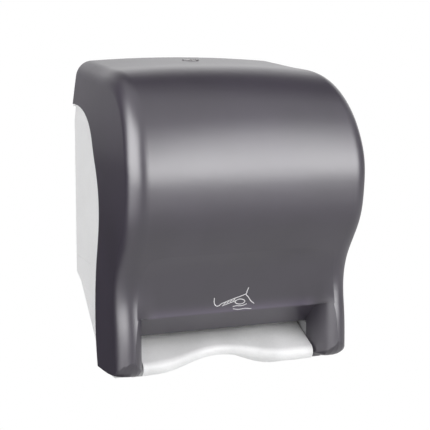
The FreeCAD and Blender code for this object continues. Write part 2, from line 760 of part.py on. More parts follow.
def chute_section(x, inset):
    """Side outline of the chute at one X, moved in by inset and then open at the back."""
    rise = wave(x)
    centre = side_point(NOSE_CENTRE[0] - WAVE_SHIFT[0] * rise, NOSE_CENTRE[1] + WAVE_SHIFT[1] * rise, x)
    radius = NOSE_RADIUS - WAVE_THINNING * rise - inset
    open_back = 12.0 if inset else 0.0
    top = side_point(CHUTE_TOP[0] - 0.75 * inset, CHUTE_TOP[1] - 0.8 * inset, x)
    guide = side_point(GUIDE_TOP[0] - inset, GUIDE_TOP[1] + open_back, x)
    reach = top - centre
    spread = math.acos(radius / reach.Length)
    towards = math.atan2(reach.z, reach.y) + spread
    ending = -math.pi / 2 - math.atan2(2.0, 7.0) * 0.5

    def on_nose(angle):
        return centre + FreeCAD.Vector(0, math.cos(angle), math.sin(angle)) * radius

    sweep_end = 2 * math.pi + ending
    start, middle, end = (on_nose(a) for a in (towards, (towards + sweep_end) / 2, sweep_end))
    hem = side_point(CHUTE_HEM[0] - open_back, CHUTE_HEM[1] + HEM_RISE * rise + 1.05 * inset
                     + open_back * (0.9 * rise - 0.28), x)
    rear = side_point(104.5 - open_back, 18 + open_back, x)
    edges = straight([guide, top, start]) + [Part.Arc(start, middle, end).toShape()]
    edges += straight([end, hem, rear, guide])
    return Part.Wire(edges)


def chute_solid(half, inset):
    stations = [half * step / 9 for step in range(-9, 10)]
    return Part.makeLoft([chute_section(x, inset) for x in stations], True)


def chute_shape():
    """The wide silver nose the towel slides over: a shell, open at the back."""
    outer = chute_solid(CHUTE_HALF, 0)
    shell = outer.cut(chute_solid(CHUTE_HALF - CHUTE_WALL, CHUTE_WALL))
    bosses = []
    cuts = [sensor_block(0.15)] + sensor_hollows()
    for sign in (-1, 1):
        outward = FreeCAD.Vector(sign, 0, 0)
        for (depth, height), radius in zip(CHUTE_SCREWS, CHUTE_BOSSES):
            start = side_point(depth, height, sign * (CHUTE_HALF - 9))
            bosses.append(round_rod(radius, start, outward, 8))
            cuts.append(round_rod(1.1, start + outward, outward, 12))
    cuts.append(round_rod(LEAD_HOLE, side_point(*SENSOR_LEAD_SPOT, -120), FreeCAD.Vector(1, 0, 0), 14))
    return shell.fuse(bosses).cut(cuts).removeSplitter()


def sensor_block(gap):
    """Place of the sensor window in the underside of the wave."""
    corner = FreeCAD.Vector(WAVE_MIDDLE - 13 - gap, -137 - gap, 7.0 - gap)
    return Part.makeBox(26 + 2 * gap, 12 + 2 * gap, 3.4 + 2 * gap, corner)


def sensor_hollows():
    """Room in the thick middle of the chute's floor for the sensor board, its eyes and its lead."""
    board_low = SENSOR_BOARD_HEIGHT
    board_corner = FreeCAD.Vector(WAVE_MIDDLE - 15.3, -137.8, board_low)
    lead_corner = FreeCAD.Vector(WAVE_MIDDLE - 50, -132.8, board_low - 0.9)
    hollows = [Part.makeBox(30.6, 13.6, 6.4, board_corner), Part.makeBox(36, 3.6, 7.3, lead_corner)]
    for x in SENSOR_EYES:
        hollows.append(round_rod(2.55, side_point(131, board_low - 2.6, x), Z_AXIS, 3))
    return hollows


# Shells: the housing on the wall, the swinging cover and the chute's nose
keep(solid_feature("housing_shell", housing_shape().Solids[0]), "wall_housing")
keep(solid_feature("cover_shell", cover_shape().Solids[0]), "front_cover")
keep(solid_feature("chute_shell", chute_shape().Solids[0]), "towel_chute")

pins = []
for side, sign in SIDES:
    x = low_x(sign, "leg_gap_half", "leg_gap_half + 27.5")
    pins.append(rod(f"hinge_pin_{side}", "hinge_pin_radius", 27.5, x, "-hinge_depth", "hinge_height"))
keep(group("hinge_pin_pair", pins), "hinge_pins")

# Chassis: two cheeks with a front beam and a roller guard between them
CHEEK_OUTLINE = [
    ("-60", "128"), ("-60", "56"), ("-94", "13"), ("-98", "7.6"), ("-129", "7.6"),
    ("-129.3", "12.5"), ("-141", "13.5"), ("-141", "37"), ("-135", "38.5"), ("-135", "60"),
    ("-134", "104"), ("-122", "128"),
]
BEAM_SCREW = (130.5, 56.5)
GUARD_SCREW = (84.0, 108.0)
BOX_SCREWS = {"right": ((65, 52), (114, 52), (114, 110.5)), "left": ((80, 66), (80, 120), (129, 120))}
MOTOR_SCREW_OFFSET = 8.5
cheek_outer = "cheek_face + cheek_wall"
for side, sign in SIDES:
    body = new_body(f"cheek_{side}", low_x(sign, "cheek_face", cheek_outer))
    plate = new_sketch(body, "YZ_Plane", f"cheek_{side}_outline")
    draw_polygon(plate, CHEEK_OUTLINE)
    pad(body, plate, "cheek_wall")
    holes = new_sketch(body, "YZ_Plane", f"cheek_{side}_holes")
    draw_circle(holes, "-drive_depth", "drive_height", "7")
    draw_circle(holes, "-pivot_depth", "pivot_height", "2.5")
    for depth, height in CHASSIS_POSTS + CHUTE_SCREWS + (BEAM_SCREW, GUARD_SCREW):
        draw_circle(holes, -depth, height, "1.25")
    for depth, height in BOX_SCREWS[side]:
        draw_circle(holes, -depth, height, "1.2")
    if side == "right":
        draw_circle(holes, "-motor_depth", "motor_height", "4.5")
        for offset in (-MOTOR_SCREW_OFFSET, MOTOR_SCREW_OFFSET):
            draw_circle(holes, "-motor_depth", f"motor_height + {offset}", "1.1")
    else:
        draw_circle(holes, -SENSOR_LEAD_SPOT[0], SENSOR_LEAD_SPOT[1], LEAD_HOLE)
    pads = new_sketch(body, "YZ_Plane", f"cheek_{side}_pads")
    for (depth, height), radius in zip(CHUTE_SCREWS, CHUTE_BOSSES):
        draw_circle(pads, -depth, height, radius)
    pad_step = body.newObject("PartDesign::Pad", f"cheek_{side}_spacers")
    pad_step.Profile = pads
    pad_step.Length = 1.2
    pad_step.Reversed = sign > 0
    if sign < 0:
        pads.setExpression("AttachmentOffset.Base.z", rule("cheek_wall"))
    body.Tip = pocket(body, holes, "2 * cheek_wall + 4", both_ways=True)
    keep(body, f"chassis_cheek_{side}")

BLADE_SCREW_X = (-90, -45, 0, 45, 90)
beam_parts = [
    block("beam_plate", "2 * cheek_face", 3, 57, "-cheek_face", -138, 52),
    block("beam_lip", "2 * cheek_face", 10, 2, "-cheek_face", -138, 107),
]
beam_holes = [rod(f"beam_hole_{i}", 1.2, 4, x, -138.5, 55, "Y") for i, x in enumerate(BLADE_SCREW_X)]
for side, sign in SIDES:
    x = low_x(sign, "cheek_face - 8", "cheek_face")
    beam_parts.append(block(f"beam_end_{side}", 8, 12, 8, x, -138, 52.5))
    beam_holes.append(rod(f"beam_end_hole_{side}", 1.25, 8, x, -BEAM_SCREW[0], BEAM_SCREW[1]))
keep(carve("beam_cut", join("beam_joined", beam_parts), beam_holes), "front_beam")

guard_body = new_body("guard_body")
guard_line = new_sketch(guard_body, "YZ_Plane", "guard_outline")
draw_polygon(guard_line, [("-61", "114"), ("-97", "114"), ("-104.5", "99"), ("-102.6", "98"),
                          ("-96", "112"), ("-61", "112")])
pad(guard_body, guard_line, "2 * cheek_face", both_ways=True)
guard_ends = [guard_body]
guard_holes = []
for side, sign in SIDES:
    x = low_x(sign, "cheek_face - 8", "cheek_face")
    guard_ends.append(block(f"guard_end_{side}", 8, 8, 8, x, -88, 105))
    guard_holes.append(rod(f"guard_hole_{side}", 1.25, 8, x, -GUARD_SCREW[0], GUARD_SCREW[1]))
keep(carve("guard_cut", join("guard_joined", guard_ends), guard_holes), "roller_guard")

# Tear blade with its row of teeth
TOOTH_PITCH = 4.0
TOOTH_DEPTH = 3.0
BLADE_HALF = 104.0
BLADE_LOW, BLADE_HIGH = 44.0, 58.0
BLADE_FRONT = 135.0
BLADE_THICK = 0.8


def blade_shape():
    points = [side_point(BLADE_FRONT, BLADE_HIGH, -BLADE_HALF)]
    for tooth in range(int(2 * BLADE_HALF / TOOTH_PITCH)):
        x = -BLADE_HALF + tooth * TOOTH_PITCH
        points.append(side_point(BLADE_FRONT, BLADE_LOW + TOOTH_DEPTH, x))
        points.append(side_point(BLADE_FRONT, BLADE_LOW, x + TOOTH_PITCH / 2))
    points.append(side_point(BLADE_FRONT, BLADE_LOW + TOOTH_DEPTH, BLADE_HALF))
    points.append(side_point(BLADE_FRONT, BLADE_HIGH, BLADE_HALF))
    inward = FreeCAD.Vector(0, 1, 0)
    plate = Part.Face(Part.makePolygon(points + points[:1])).extrude(inward * BLADE_THICK)
    return plate.cut([round_rod(1.2, side_point(BLADE_FRONT + 1, 55, x), inward, 3) for x in BLADE_SCREW_X])


keep(solid_feature("blade_plate", blade_shape().Solids[0]), "tear_blade")
screws = [screw(f"blade_screw_{i}", 1.2, 3.8, 2.4, 1.2, (x, -134.2, 55), "Y", False)
          for i, x in enumerate(BLADE_SCREW_X)]
keep(group("blade_screw_row", screws), "blade_screws")

# Screws that hold the chassis together
inside, outside, cover_screws = [], [], []
for side, sign in SIDES:
    inner_face, outer_face = f"{sign} * cheek_face", f"{sign} * ({cheek_outer})"
    for i, (depth, height) in enumerate(CHASSIS_POSTS):
        inside.append(screw(f"post_screw_{side}_{i}", 1.25, 14, 3.4, 1, (inner_face, -depth, height),
                            "X", sign > 0))
    for i, (depth, height) in enumerate(CHUTE_SCREWS):
        outside.append(screw(f"chute_screw_{side}_{i}", 1.1, 11, 2.4, 1.4, (outer_face, -depth, height),
                             "X", sign < 0))
    for name, spot in (("beam", BEAM_SCREW), ("guard", GUARD_SCREW)):
        outside.append(screw(f"{name}_screw_{side}", 1.25, 10, 2.4, 1.4, (outer_face, -spot[0], spot[1]),
                             "X", sign < 0))
    for i, (depth, height) in enumerate(BOX_SCREWS[side]):
        start = f"{sign} * ({cheek_outer} + 18)"
        cover_screws.append(screw(f"box_screw_{side}_{i}", 1.2, 20.5, 2.2, 1.4, (start, -depth, height),
                                  "X", sign < 0))
keep(group("post_screw_set", inside), "chassis_screws")
keep(group("cheek_screw_set", outside), "cheek_screws")

# Drive roller: shaft, core, four rubber sleeves and two bushes
keep(rod("drive_shaft_rod", "drive_shaft_radius", "2 * cheek_face + 2 * cheek_wall + 16.6",
         "-cheek_face - cheek_wall - 0.2", "-drive_depth", "drive_height"), "drive_shaft")
keep(tube("roller_core_tube", 9, "drive_shaft_radius", 212, -106, "-drive_depth", "drive_height"),
     "drive_roller_core")
sleeves = [tube(f"sleeve_{i}", "drive_radius", 9, 38, x, "-drive_depth", "drive_height")
           for i, x in enumerate((-99, -47, 9, 61))]
keep(group("sleeve_row", sleeves), "roller_sleeves")
bushes = []
for side, sign in SIDES:
    at_drive = ("-drive_depth", "drive_height")
    skin = rod(f"bush_{side}_skin", 7, "cheek_wall", low_x(sign, "cheek_face", cheek_outer), *at_drive)
    collar = rod(f"bush_{side}_collar", 9, 1.2, low_x(sign, "cheek_face - 1.2", "cheek_face"), *at_drive)
    bore = rod(f"bush_{side}_bore", "drive_shaft_radius + running_gap", 10,
               low_x(sign, "cheek_face - 4", "cheek_face + 6"), *at_drive)
    bushes.append(carve(f"bush_{side}", join(f"bush_{side}_blank", [skin, collar]), [bore]))
keep(group("bush_pair", bushes), "shaft_bushes")

# Pinch roller on its sprung bracket
at_pinch = ("-pinch_depth", "pinch_height")
keep(rod("pinch_shaft_rod", "pinch_shaft_radius", 214, -107, *at_pinch), "pinch_shaft")
rings = [tube(f"pinch_ring_{i}", "pinch_radius", "pinch_shaft_radius", 34, x, *at_pinch)
         for i, x in enumerate((-97, -45, 11, 63))]
keep(group("pinch_ring_row", rings), "pinch_rollers")
bracket_parts = [block("bracket_bar", 212, 2, 20, -106, -128, 84)]
for side, sign in SIDES:
    body = new_body(f"bracket_ear_{side}", low_x(sign, "103", "106"))
    outline = new_sketch(body, "YZ_Plane", f"bracket_ear_{side}_outline")
    draw_polygon(outline, [("-128", "104"), ("-117", "104"), ("-111", "72"), ("-114", "69"),
                           ("-120", "69"), ("-128", "84")])
    pad(body, outline, 3)
    holes = new_sketch(body, "YZ_Plane", f"bracket_ear_{side}_holes")
    draw_circle(holes, "-pivot_depth", "pivot_height", "2.5 + running_gap")
    draw_circle(holes, "-pinch_depth", "pinch_height", "pinch_shaft_radius + running_gap")
    body.Tip = pocket(body, holes, 10, both_ways=True)
    bracket_parts.append(body)
keep(join("bracket_joined", bracket_parts), "pinch_bracket")
keep(rod("pivot_rod", 2.5, "2 * cheek_face + 2 * cheek_wall", "-cheek_face - cheek_wall",
         "-pivot_depth", "pivot_height"), "pinch_pivot")
springs = [tube(f"pinch_spring_{side}", 4.4, 3, 5.2, low_x(sign, "106.9", "112.1"), "-pivot_depth",
                "pivot_height") for side, sign in SIDES]
keep(group("pinch_spring_pair", springs), "pinch_springs")

# Motor on the right cheek
at_motor = ("-motor_depth", "motor_height")
motor_parts = [
    rod("motor_can", "motor_radius", "motor_length", "cheek_face - motor_length", *at_motor),
    rod("motor_nose", 4.5, "cheek_wall", "cheek_face", *at_motor),
    rod("motor_tail", 5, 3, "cheek_face - motor_length - 3", *at_motor),
]
motor_holes = [rod("motor_bore", "1.25 + running_gap", 24, "cheek_face - 20", *at_motor)]
screws = []
for i, offset in enumerate((-MOTOR_SCREW_OFFSET, MOTOR_SCREW_OFFSET)):
    spot = ("-motor_depth", f"motor_height + {offset}")
    motor_holes.append(rod(f"motor_thread_{i}", 1.1, 5, "cheek_face - 5", *spot))
    screws.append(screw(f"motor_screw_{i}", 1.1, 7, 2, 1.2, (cheek_outer, *spot), "X", False))
keep(carve("motor_cut", join("motor_blank", motor_parts), motor_holes), "feed_motor")
keep(rod("motor_shaft_rod", 1.25, 29, "cheek_face - 17", *at_motor), "motor_shaft")
keep(group("motor_screw_pair", screws), "motor_screws")

# Reduction: pinion, double idler and the gear on the drive shaft
FIRST_MODULE = 0.8
SECOND_MODULE = 1.0
PINION_TEETH = 12
IDLER_TEETH = 40
IDLER_SMALL_TEETH = 14
DRIVE_TEETH = 36
PRESSURE_ANGLE = math.radians(20)
BACKLASH = 0.16
FIRST_GEAR_X = 118.0
SECOND_GEAR_X = 125.0
IDLER_BORE = 2.0


def gear_outline(teeth, module):
    """A spur gear's outline about the origin, one tooth centred on the X axis."""
    pitch = teeth * module / 2
    base = pitch * math.cos(PRESSURE_ANGLE)
    tip, root = pitch + 0.9 * module, pitch - 1.2 * module
    foot = max(base, root + 0.05)
    middle = (foot + tip) / 2
    half_tooth = math.pi / (2 * teeth) - BACKLASH / (2 * pitch)
    step = 2 * math.pi / teeth

    def flank(radius):
        """Angle from the tooth's middle to its involute flank at a radius."""
        pressed = math.acos(min(base / radius, 1))
        return half_tooth + math.tan(PRESSURE_ANGLE) - PRESSURE_ANGLE - math.tan(pressed) + pressed

    def spot(radius, angle):
        return FreeCAD.Vector(radius * math.cos(angle), radius * math.sin(angle), 0)

    edges = []
    for tooth in range(teeth):
        turn = tooth * step
        rise = [spot(r, turn - flank(r)) for r in (foot, middle, tip)]
        fall = [spot(r, turn + flank(r)) for r in (tip, middle, foot)]
        low_start, low_end = spot(root, turn - flank(foot)), spot(root, turn + flank(foot))
        next_low = spot(root, turn + step - flank(foot))
        edges.append(Part.makeLine(low_start, rise[0]))
        edges.append(Part.Arc(*rise).toShape())
        edges.append(Part.Arc(rise[2], spot(tip, turn), fall[0]).toShape())
        edges.append(Part.Arc(*fall).toShape())
        edges.append(Part.makeLine(fall[2], low_end))
        edges.append(Part.Arc(low_end, spot(root, turn + step / 2), next_low).toShape())
    return Part.Wire(edges)


def gear_solid(teeth, module, start_x, centre, tooth_angle, width):
    """A gear along X whose first tooth points at an angle in the YZ plane."""
    solid = Part.Face(gear_outline(teeth, module)).extrude(Z_AXIS * width)
    solid.rotate(FreeCAD.Vector(), Z_AXIS, math.degrees(tooth_angle))
    solid.rotate(FreeCAD.Vector(), FreeCAD.Vector(1, 1, 1), 120)
    solid.translate(side_point(*centre, start_x))
    return solid


def bored(solid, radius, centre):
    return solid.cut(round_rod(radius, side_point(*centre, 100), FreeCAD.Vector(1, 0, 0), 60)).Solids[0]


def idler_centre():
    """Where both gear pairs mesh: the upper corner of the triangle of axes."""
    first = FIRST_MODULE * (PINION_TEETH + IDLER_TEETH) / 2
    second = SECOND_MODULE * (IDLER_SMALL_TEETH + DRIVE_TEETH) / 2
    over, down = size.drive_depth - size.motor_depth, size.motor_height - size.drive_height
    apart = math.hypot(over, down)
    along = (first ** 2 - second ** 2 + apart ** 2) / (2 * apart)
    across = math.sqrt(first ** 2 - along ** 2)
    depth = size.motor_depth + (over * along + down * across) / apart
    height = size.motor_height + (over * across - down * along) / apart
    return depth, height


def bearing_to(start, end):
    """Angle in the YZ plane from one axis to another."""
    return math.atan2(end[1] - start[1], start[0] - end[0])


MOTOR_AXIS = (size.motor_depth, size.motor_height)
DRIVE_AXIS = (size.drive_depth, size.drive_height)
IDLER_AXIS = idler_centre()
to_idler = bearing_to(MOTOR_AXIS, IDLER_AXIS)
to_drive = bearing_to(IDLER_AXIS, DRIVE_AXIS)
width = size.gear_width
pinion = gear_solid(PINION_TEETH, FIRST_MODULE, FIRST_GEAR_X, MOTOR_AXIS, to_idler, width)
keep(solid_feature("pinion_solid", bored(pinion, 1.25, MOTOR_AXIS)), "motor_pinion")
facing = to_idler + math.pi + math.pi / IDLER_TEETH
big = gear_solid(IDLER_TEETH, FIRST_MODULE, FIRST_GEAR_X, IDLER_AXIS, facing, width)
small = gear_solid(IDLER_SMALL_TEETH, SECOND_MODULE, SECOND_GEAR_X - 1, IDLER_AXIS, to_drive, width + 1)
idler = bored(big.fuse(small), IDLER_BORE + size.running_gap, IDLER_AXIS)
keep(solid_feature("idler_solid", idler), "idler_gear")
facing = to_drive + math.pi + math.pi / DRIVE_TEETH
last = gear_solid(DRIVE_TEETH, SECOND_MODULE, SECOND_GEAR_X, DRIVE_AXIS, facing, width)
keep(solid_feature("drive_gear_solid", bored(last, size.drive_shaft_radius, DRIVE_AXIS)), "drive_gear")
keep(rod("idler_axle_rod", IDLER_BORE, 18, cheek_outer, -IDLER_AXIS[0], IDLER_AXIS[1]), "idler_axle")


def side_box(side, sign, name, outline, room, openings):
    """A moulded box on the outside of one cheek, open towards it, on three screw posts."""
    body = new_body(f"{name}_body", low_x(sign, cheek_outer, f"{cheek_outer} + 20"))
    line = new_sketch(body, "YZ_Plane", f"{name}_outline")
    draw_polygon(line, outline)
    soften(body, pad(body, line, 20), 2, FreeCAD.Vector(1, 0, 0))
    hollow = new_sketch(body, "YZ_Plane", f"{name}_room")
    draw_polygon(hollow, room)
    if sign < 0:
        hollow.setExpression("AttachmentOffset.Base.z", "20 mm")
    pocket(body, hollow, 18, reverse=sign > 0)
    posts = new_sketch(body, "YZ_Plane", f"{name}_posts")
    for depth, height in BOX_SCREWS[side]:
        draw_circle(posts, -depth, height, 3)
    pad(body, posts, 20)
    holes = new_sketch(body, "YZ_Plane", f"{name}_screw_holes")
    for depth, height in BOX_SCREWS[side]:
        draw_circle(holes, -depth, height, 1.2)
    pocket(body, holes, 60, both_ways=True)
    seats = new_sketch(body, "YZ_Plane", f"{name}_screw_seats")
    for depth, height in BOX_SCREWS[side]:
        draw_circle(seats, -depth, height, 2.3)
    if sign > 0:
        seats.setExpression("AttachmentOffset.Base.z", "18 mm")
        body.Tip = pocket(body, seats, 4, reverse=True)
    else:
        seats.setExpression("AttachmentOffset.Base.z", "2 mm")
        body.Tip = pocket(body, seats, 4)
    return carve(f"{name}_cut", body, openings) if openings else body


gear_box_line = [("-118", "48"), ("-61", "48"), ("-61", "100"), ("-75", "114.5"), ("-118", "114.5")]
gear_box_room = [("-116.4", "49.6"), ("-62.6", "49.6"), ("-62.6", "99.3"), ("-75.7", "112.9"),
                 ("-116.4", "112.9")]
keep(side_box("right", 1, "gear_box", gear_box_line, gear_box_room, []), "gear_cover")

# Control box on the left cheek: feed button, three slide switches and a status light
PANEL_X = -126.5
PANEL_FRONT = size.panel_face
PANEL_WALL = 2.0
SWITCH_HEIGHTS = {"length_switch": 98, "delay_switch": 88, "range_switch": 78}
SWITCH_TRAVEL = 3.0
LIGHT_HEIGHT = 68.0
BOARD_X = -119.4
control_line = [("-133", "62"), ("-76", "62"), ("-76", "124"), ("-133", "124")]
control_room = [("-131", "64"), ("-78", "64"), ("-78", "122"), ("-131", "122")]
openings = [
    rod("button_hole", "button_radius + running_gap", 6, PANEL_X, -PANEL_FRONT - 1, "button_height", "Y"),
    rod("light_hole", 1.5, 6, PANEL_X, -PANEL_FRONT - 1, LIGHT_HEIGHT, "Y"),
    rod("battery_lead_hole", 1.5, 4, PANEL_X, -79, 100, "Y"),
    rod("motor_lead_hole", 1.5, 4, PANEL_X, -79, 92, "Y"),
    rod("sensor_lead_hole", 1.5, 4, PANEL_X, -SENSOR_LEAD_SPOT[0], 61, "Z"),
]
for name, height in SWITCH_HEIGHTS.items():
    openings.append(block(f"{name}_slot", 10.2, 6, 3.1, PANEL_X - 5.1, -PANEL_FRONT - 1, height - 1.55))
keep(side_box("left", -1, "control_box", control_line, control_room, openings), "control_housing")
keep(group("box_screw_set", cover_screws), "cover_screws")

board_parts = [block("board_plate", 1.6, 48.4, 46, BOARD_X - 1.6, -129, 69),
               block("button_switch", 10, 5, 8, BOARD_X - 10, -123.7, "button_height - 4"),
               block("driver_chip", 2.4, 9, 9, BOARD_X - 4, -106, 84),
               block("power_cap", 9, 9, 9, BOARD_X - 10.6, -96, 72)]
board_cuts = []
for name, height in SWITCH_HEIGHTS.items():
    board_parts.append(block(f"{name}_case", 13.8, 7, 8, BOARD_X - 13.8, -PANEL_FRONT + PANEL_WALL,
                             height - 4))
    board_cuts.append(block(f"{name}_channel", 10.2, 4, 3.1, PANEL_X - 5.1, -PANEL_FRONT + 1,
                            height - 1.55))
keep(carve("board_cut", join("board_joined", board_parts), board_cuts), "control_board")
keep(rod("light_lens", 1.5, 5, PANEL_X, -PANEL_FRONT - 0.6, LIGHT_HEIGHT, "Y"), "status_light")
button_parts = [
    rod("button_cap", "button_radius", 6.6, PANEL_X, -135.6, "button_height", "Y"),
    rod("button_flange", "button_radius + 0.4", 1.4, PANEL_X, -130.8, "button_height", "Y"),
    rod("button_stem", 1.8, 3.6, PANEL_X, -129.4, "button_height", "Y"),
]
keep(join("button_joined", button_parts), "feed_button")
for name, height in SWITCH_HEIGHTS.items():
    keep(block(f"{name}_slider", 4, 6.6, 3, PANEL_X - 2, -134.8, height - 1.5), name)

# Towel sensor in the wave under the chute
window = chute_solid(CHUTE_HALF, 0).common(sensor_block(0.0))
keep(solid_feature("window_solid", window.Solids[0]), "sensor_window")
sensor_parts = [block("sensor_plate", 30, 13, 1.6, WAVE_MIDDLE - 15, -137.5, SENSOR_BOARD_HEIGHT)]
for i, x in enumerate(SENSOR_EYES):
    sensor_parts.append(rod(f"sensor_eye_{i}", 2.4, 1.3, x, -131, SENSOR_BOARD_HEIGHT - 1.2, "Z"))
keep(join("sensor_joined", sensor_parts), "sensor_board")

# Battery tray, four cells in a row, contacts and a hinged door
TRAY_HALF = 130.0
TRAY_WALL = 2.0
TRAY_REAR, TRAY_FRONT = 3.0, 46.0
TRAY_LOW, TRAY_TOP = 104.5, 143.0
DOOR_AXIS = (5.5, 146.5)
DOOR_BARREL = 2.2
DOOR_PIN = 1.2
tray_parts = [carve(
    "tray_shell",
    block("tray_block", 2 * TRAY_HALF, TRAY_FRONT - TRAY_REAR, TRAY_TOP - TRAY_LOW, -TRAY_HALF,
          -TRAY_FRONT, TRAY_LOW),
    [block("tray_room", 2 * (TRAY_HALF - TRAY_WALL), TRAY_FRONT - TRAY_REAR - 2 * TRAY_WALL, 60,
           -TRAY_HALF + TRAY_WALL, -TRAY_FRONT + TRAY_WALL, TRAY_LOW + TRAY_WALL)])]
ribs = []
for cell in range(4):
    for offset in (12, 46):
        ribs.append(block(f"saddle_{cell}_{offset}", 3, TRAY_FRONT - TRAY_REAR - 2 * TRAY_WALL, 11,
                          -122 + 61 * cell + offset, -TRAY_FRONT + TRAY_WALL, TRAY_LOW + TRAY_WALL))
bed = rod("cell_bed", "cell_radius + running_gap", 2 * TRAY_HALF, -TRAY_HALF, "-cell_depth", "cell_height")
tray_parts.append(carve("saddles", join("saddle_row", ribs), [bed]))
tray_parts.append(block("latch_ridge", 16, 1, 1.4, -8, -TRAY_FRONT - 1, 139.4))
lug_spans = [(sign * middle - 4, 8) for sign in (-1, 1) for middle in (55.9, 114.1)]
for i, (x, length) in enumerate(lug_spans):
    tray_parts.append(block(f"door_lug_{i}", length, 4.6, 6, x, -7.6, TRAY_TOP - 1))
tray_holes = [rod("lug_bore", DOOR_PIN, 2 * TRAY_HALF, -TRAY_HALF, -DOOR_AXIS[0], DOOR_AXIS[1])]
for i, x in enumerate(TRAY_SCREWS_X):
    tray_holes.append(rod(f"tray_screw_hole_{i}", 1.5, 4, x, -6, TRAY_SCREW_HEIGHT, "Y"))
tray_holes.append(rod("tray_lead_hole", 1.5, 4, -TRAY_HALF - 1, -25, 125))
keep(carve("tray_cut", join("tray_joined", tray_parts), tray_holes), "battery_tray")
screws = [screw(f"tray_screw_{i}", 1.5, 4.3, 2.6, 1.4, (x, -5, TRAY_SCREW_HEIGHT), "Y")
          for i, x in enumerate(TRAY_SCREWS_X)]
keep(group("tray_screw_pair", screws), "tray_screws")

cells = []
for cell in range(4):
    x = f"{cell - 2} * cell_length"
    can = rod(f"cell_can_{cell}", "cell_radius", "cell_length - 1.5", x, "-cell_depth", "cell_height")
    cap = rod(f"cell_cap_{cell}", 4.75, 1.5, f"({x}) + cell_length - 1.5", "-cell_depth", "cell_height")
    cells.append(join(f"cell_{cell}", [can, cap]))
keep(group("cell_row", cells), "battery_cells")
contacts = []
for side, sign in SIDES:
    plate_x = low_x(sign, "2 * cell_length + 5.4", "2 * cell_length + 6")
    plate = block(f"contact_plate_{side}", 0.6, 18, 24, plate_x, -33.6, 112.4)
    reach = rod(f"contact_reach_{side}", 6 if sign < 0 else 4.5, 5.4,
                low_x(sign, "2 * cell_length", "2 * cell_length + 5.4"), "-cell_depth", "cell_height")
    contacts.append(join(f"contact_{side}", [plate, reach]))
keep(group("contact_pair", contacts), "battery_contacts")

door_parts = [block("door_plate", 2 * TRAY_HALF - 0.4, 37, 2.2, -TRAY_HALF + 0.2, -TRAY_FRONT, 143.2),
              block("door_tongue", 16, 1.6, 8.2, -8, -TRAY_FRONT - 2.8, 137.2),
              block("door_tongue_root", 16, 3, 2.2, -8, -TRAY_FRONT - 2.8, 143.2)]
barrels = []
for i, low in enumerate((-110, 60)):
    barrels.append(rod(f"door_barrel_{i}", DOOR_BARREL, 50, low, -DOOR_AXIS[0], DOOR_AXIS[1]))
    door_parts.append(block(f"door_web_{i}", 50, 4, 1.8, low, -10, 143.6))
door_bore = rod("door_bore", f"{DOOR_PIN} + running_gap", 2 * TRAY_HALF, -TRAY_HALF, -DOOR_AXIS[0],
                DOOR_AXIS[1])
keep(carve("door_cut", join("door_joined", door_parts + barrels), [door_bore]), "battery_door")
keep(rod("door_pin_rod", DOOR_PIN, 236.2, -118.1, -DOOR_AXIS[0], DOOR_AXIS[1]), "door_pin")

# Roll arms on upright pins, with a hub turning on the axle of each
ARM_BARREL = 5.5
ARM_PIN = 2.5
ARM_LOW, ARM_HIGH = 228.0, 252.0
BARREL_LOW, BARREL_HIGH = 221.6, 245.0
AXLE_START = 91.0
arm_springs, arm_pins = [], []
for side, sign in SIDES:
    pivot = (f"{sign} * arm_pivot_x", "-arm_pivot_depth")
    at_roll = ("-roll_depth", "roll_height")
    parts_of_arm = [
        block(f"arm_{side}_plate", "arm_wall", "roll_depth - 15", ARM_HIGH - ARM_LOW,
              low_x(sign, "arm_face", "arm_face + arm_wall"), "-roll_depth", ARM_LOW),
        rod(f"arm_{side}_end", 12, "arm_wall", low_x(sign, "arm_face", "arm_face + arm_wall"), *at_roll),
        rod(f"arm_{side}_spacer", 7, "arm_face - 104.7", low_x(sign, "104.7", "arm_face"), *at_roll),
        rod(f"arm_{side}_axle", "axle_radius", f"arm_face - {AXLE_START}",
            low_x(sign, str(AXLE_START), "arm_face"), *at_roll),
        rod(f"arm_{side}_barrel", ARM_BARREL, BARREL_HIGH - BARREL_LOW, *pivot, BARREL_LOW, "Z"),
        block(f"arm_{side}_web", "arm_wall", 8, BARREL_HIGH - ARM_LOW,
              low_x(sign, "arm_face", "arm_face + arm_wall"), "-arm_pivot_depth - 8", ARM_LOW),
    ]
    bore = rod(f"arm_{side}_bore", f"{ARM_PIN} + running_gap", 60, *pivot, BARREL_LOW - 10, "Z")
    arm_springs.append(tube(f"arm_{side}_spring", 4.6, 3.0, 12.9, *pivot, BARREL_HIGH + 0.4, "Z"))
    arm_pins.append(rod(f"arm_{side}_pin", ARM_PIN, 52, *pivot, 214, "Z"))
    keep(carve(f"arm_{side}_cut", join(f"arm_{side}_joined", parts_of_arm), [bore]), f"roll_arm_{side}")
keep(group("arm_spring_pair", arm_springs), "arm_springs")
keep(group("arm_pin_pair", arm_pins), "arm_pins")

# Hub outline: distance from its axis, distance from the dispenser's middle
HUB_OUTLINE = [
    ("0", "88"), ("15", "88"), ("hub_radius", "93"), ("hub_radius", "101.6"),
    ("hub_flange_radius", "101.6"), ("hub_flange_radius", "104.6"), ("16.2", "104.6"),
    ("16.2", "93.5"), ("13.8", "90.4"), ("7", "90.4"), ("7", "104.6"),
    ("axle_radius + running_gap", "104.6"), ("axle_radius + running_gap", "90.9"), ("0", "90.9"),
]
for side, sign in SIDES:
    body = doc.addObject("PartDesign::Body", f"hub_{side}")
    body.Placement.Rotation = FreeCAD.Rotation(FreeCAD.Vector(0, 1, 0), 90 * sign)
    place(body, "0", "-roll_depth", "roll_height")
    outline = new_sketch(body, "XZ_Plane", f"hub_{side}_outline")
    draw_polygon(outline, HUB_OUTLINE)
    body.Tip = revolve(body, outline)
    keep(body, f"roll_hub_{side}")

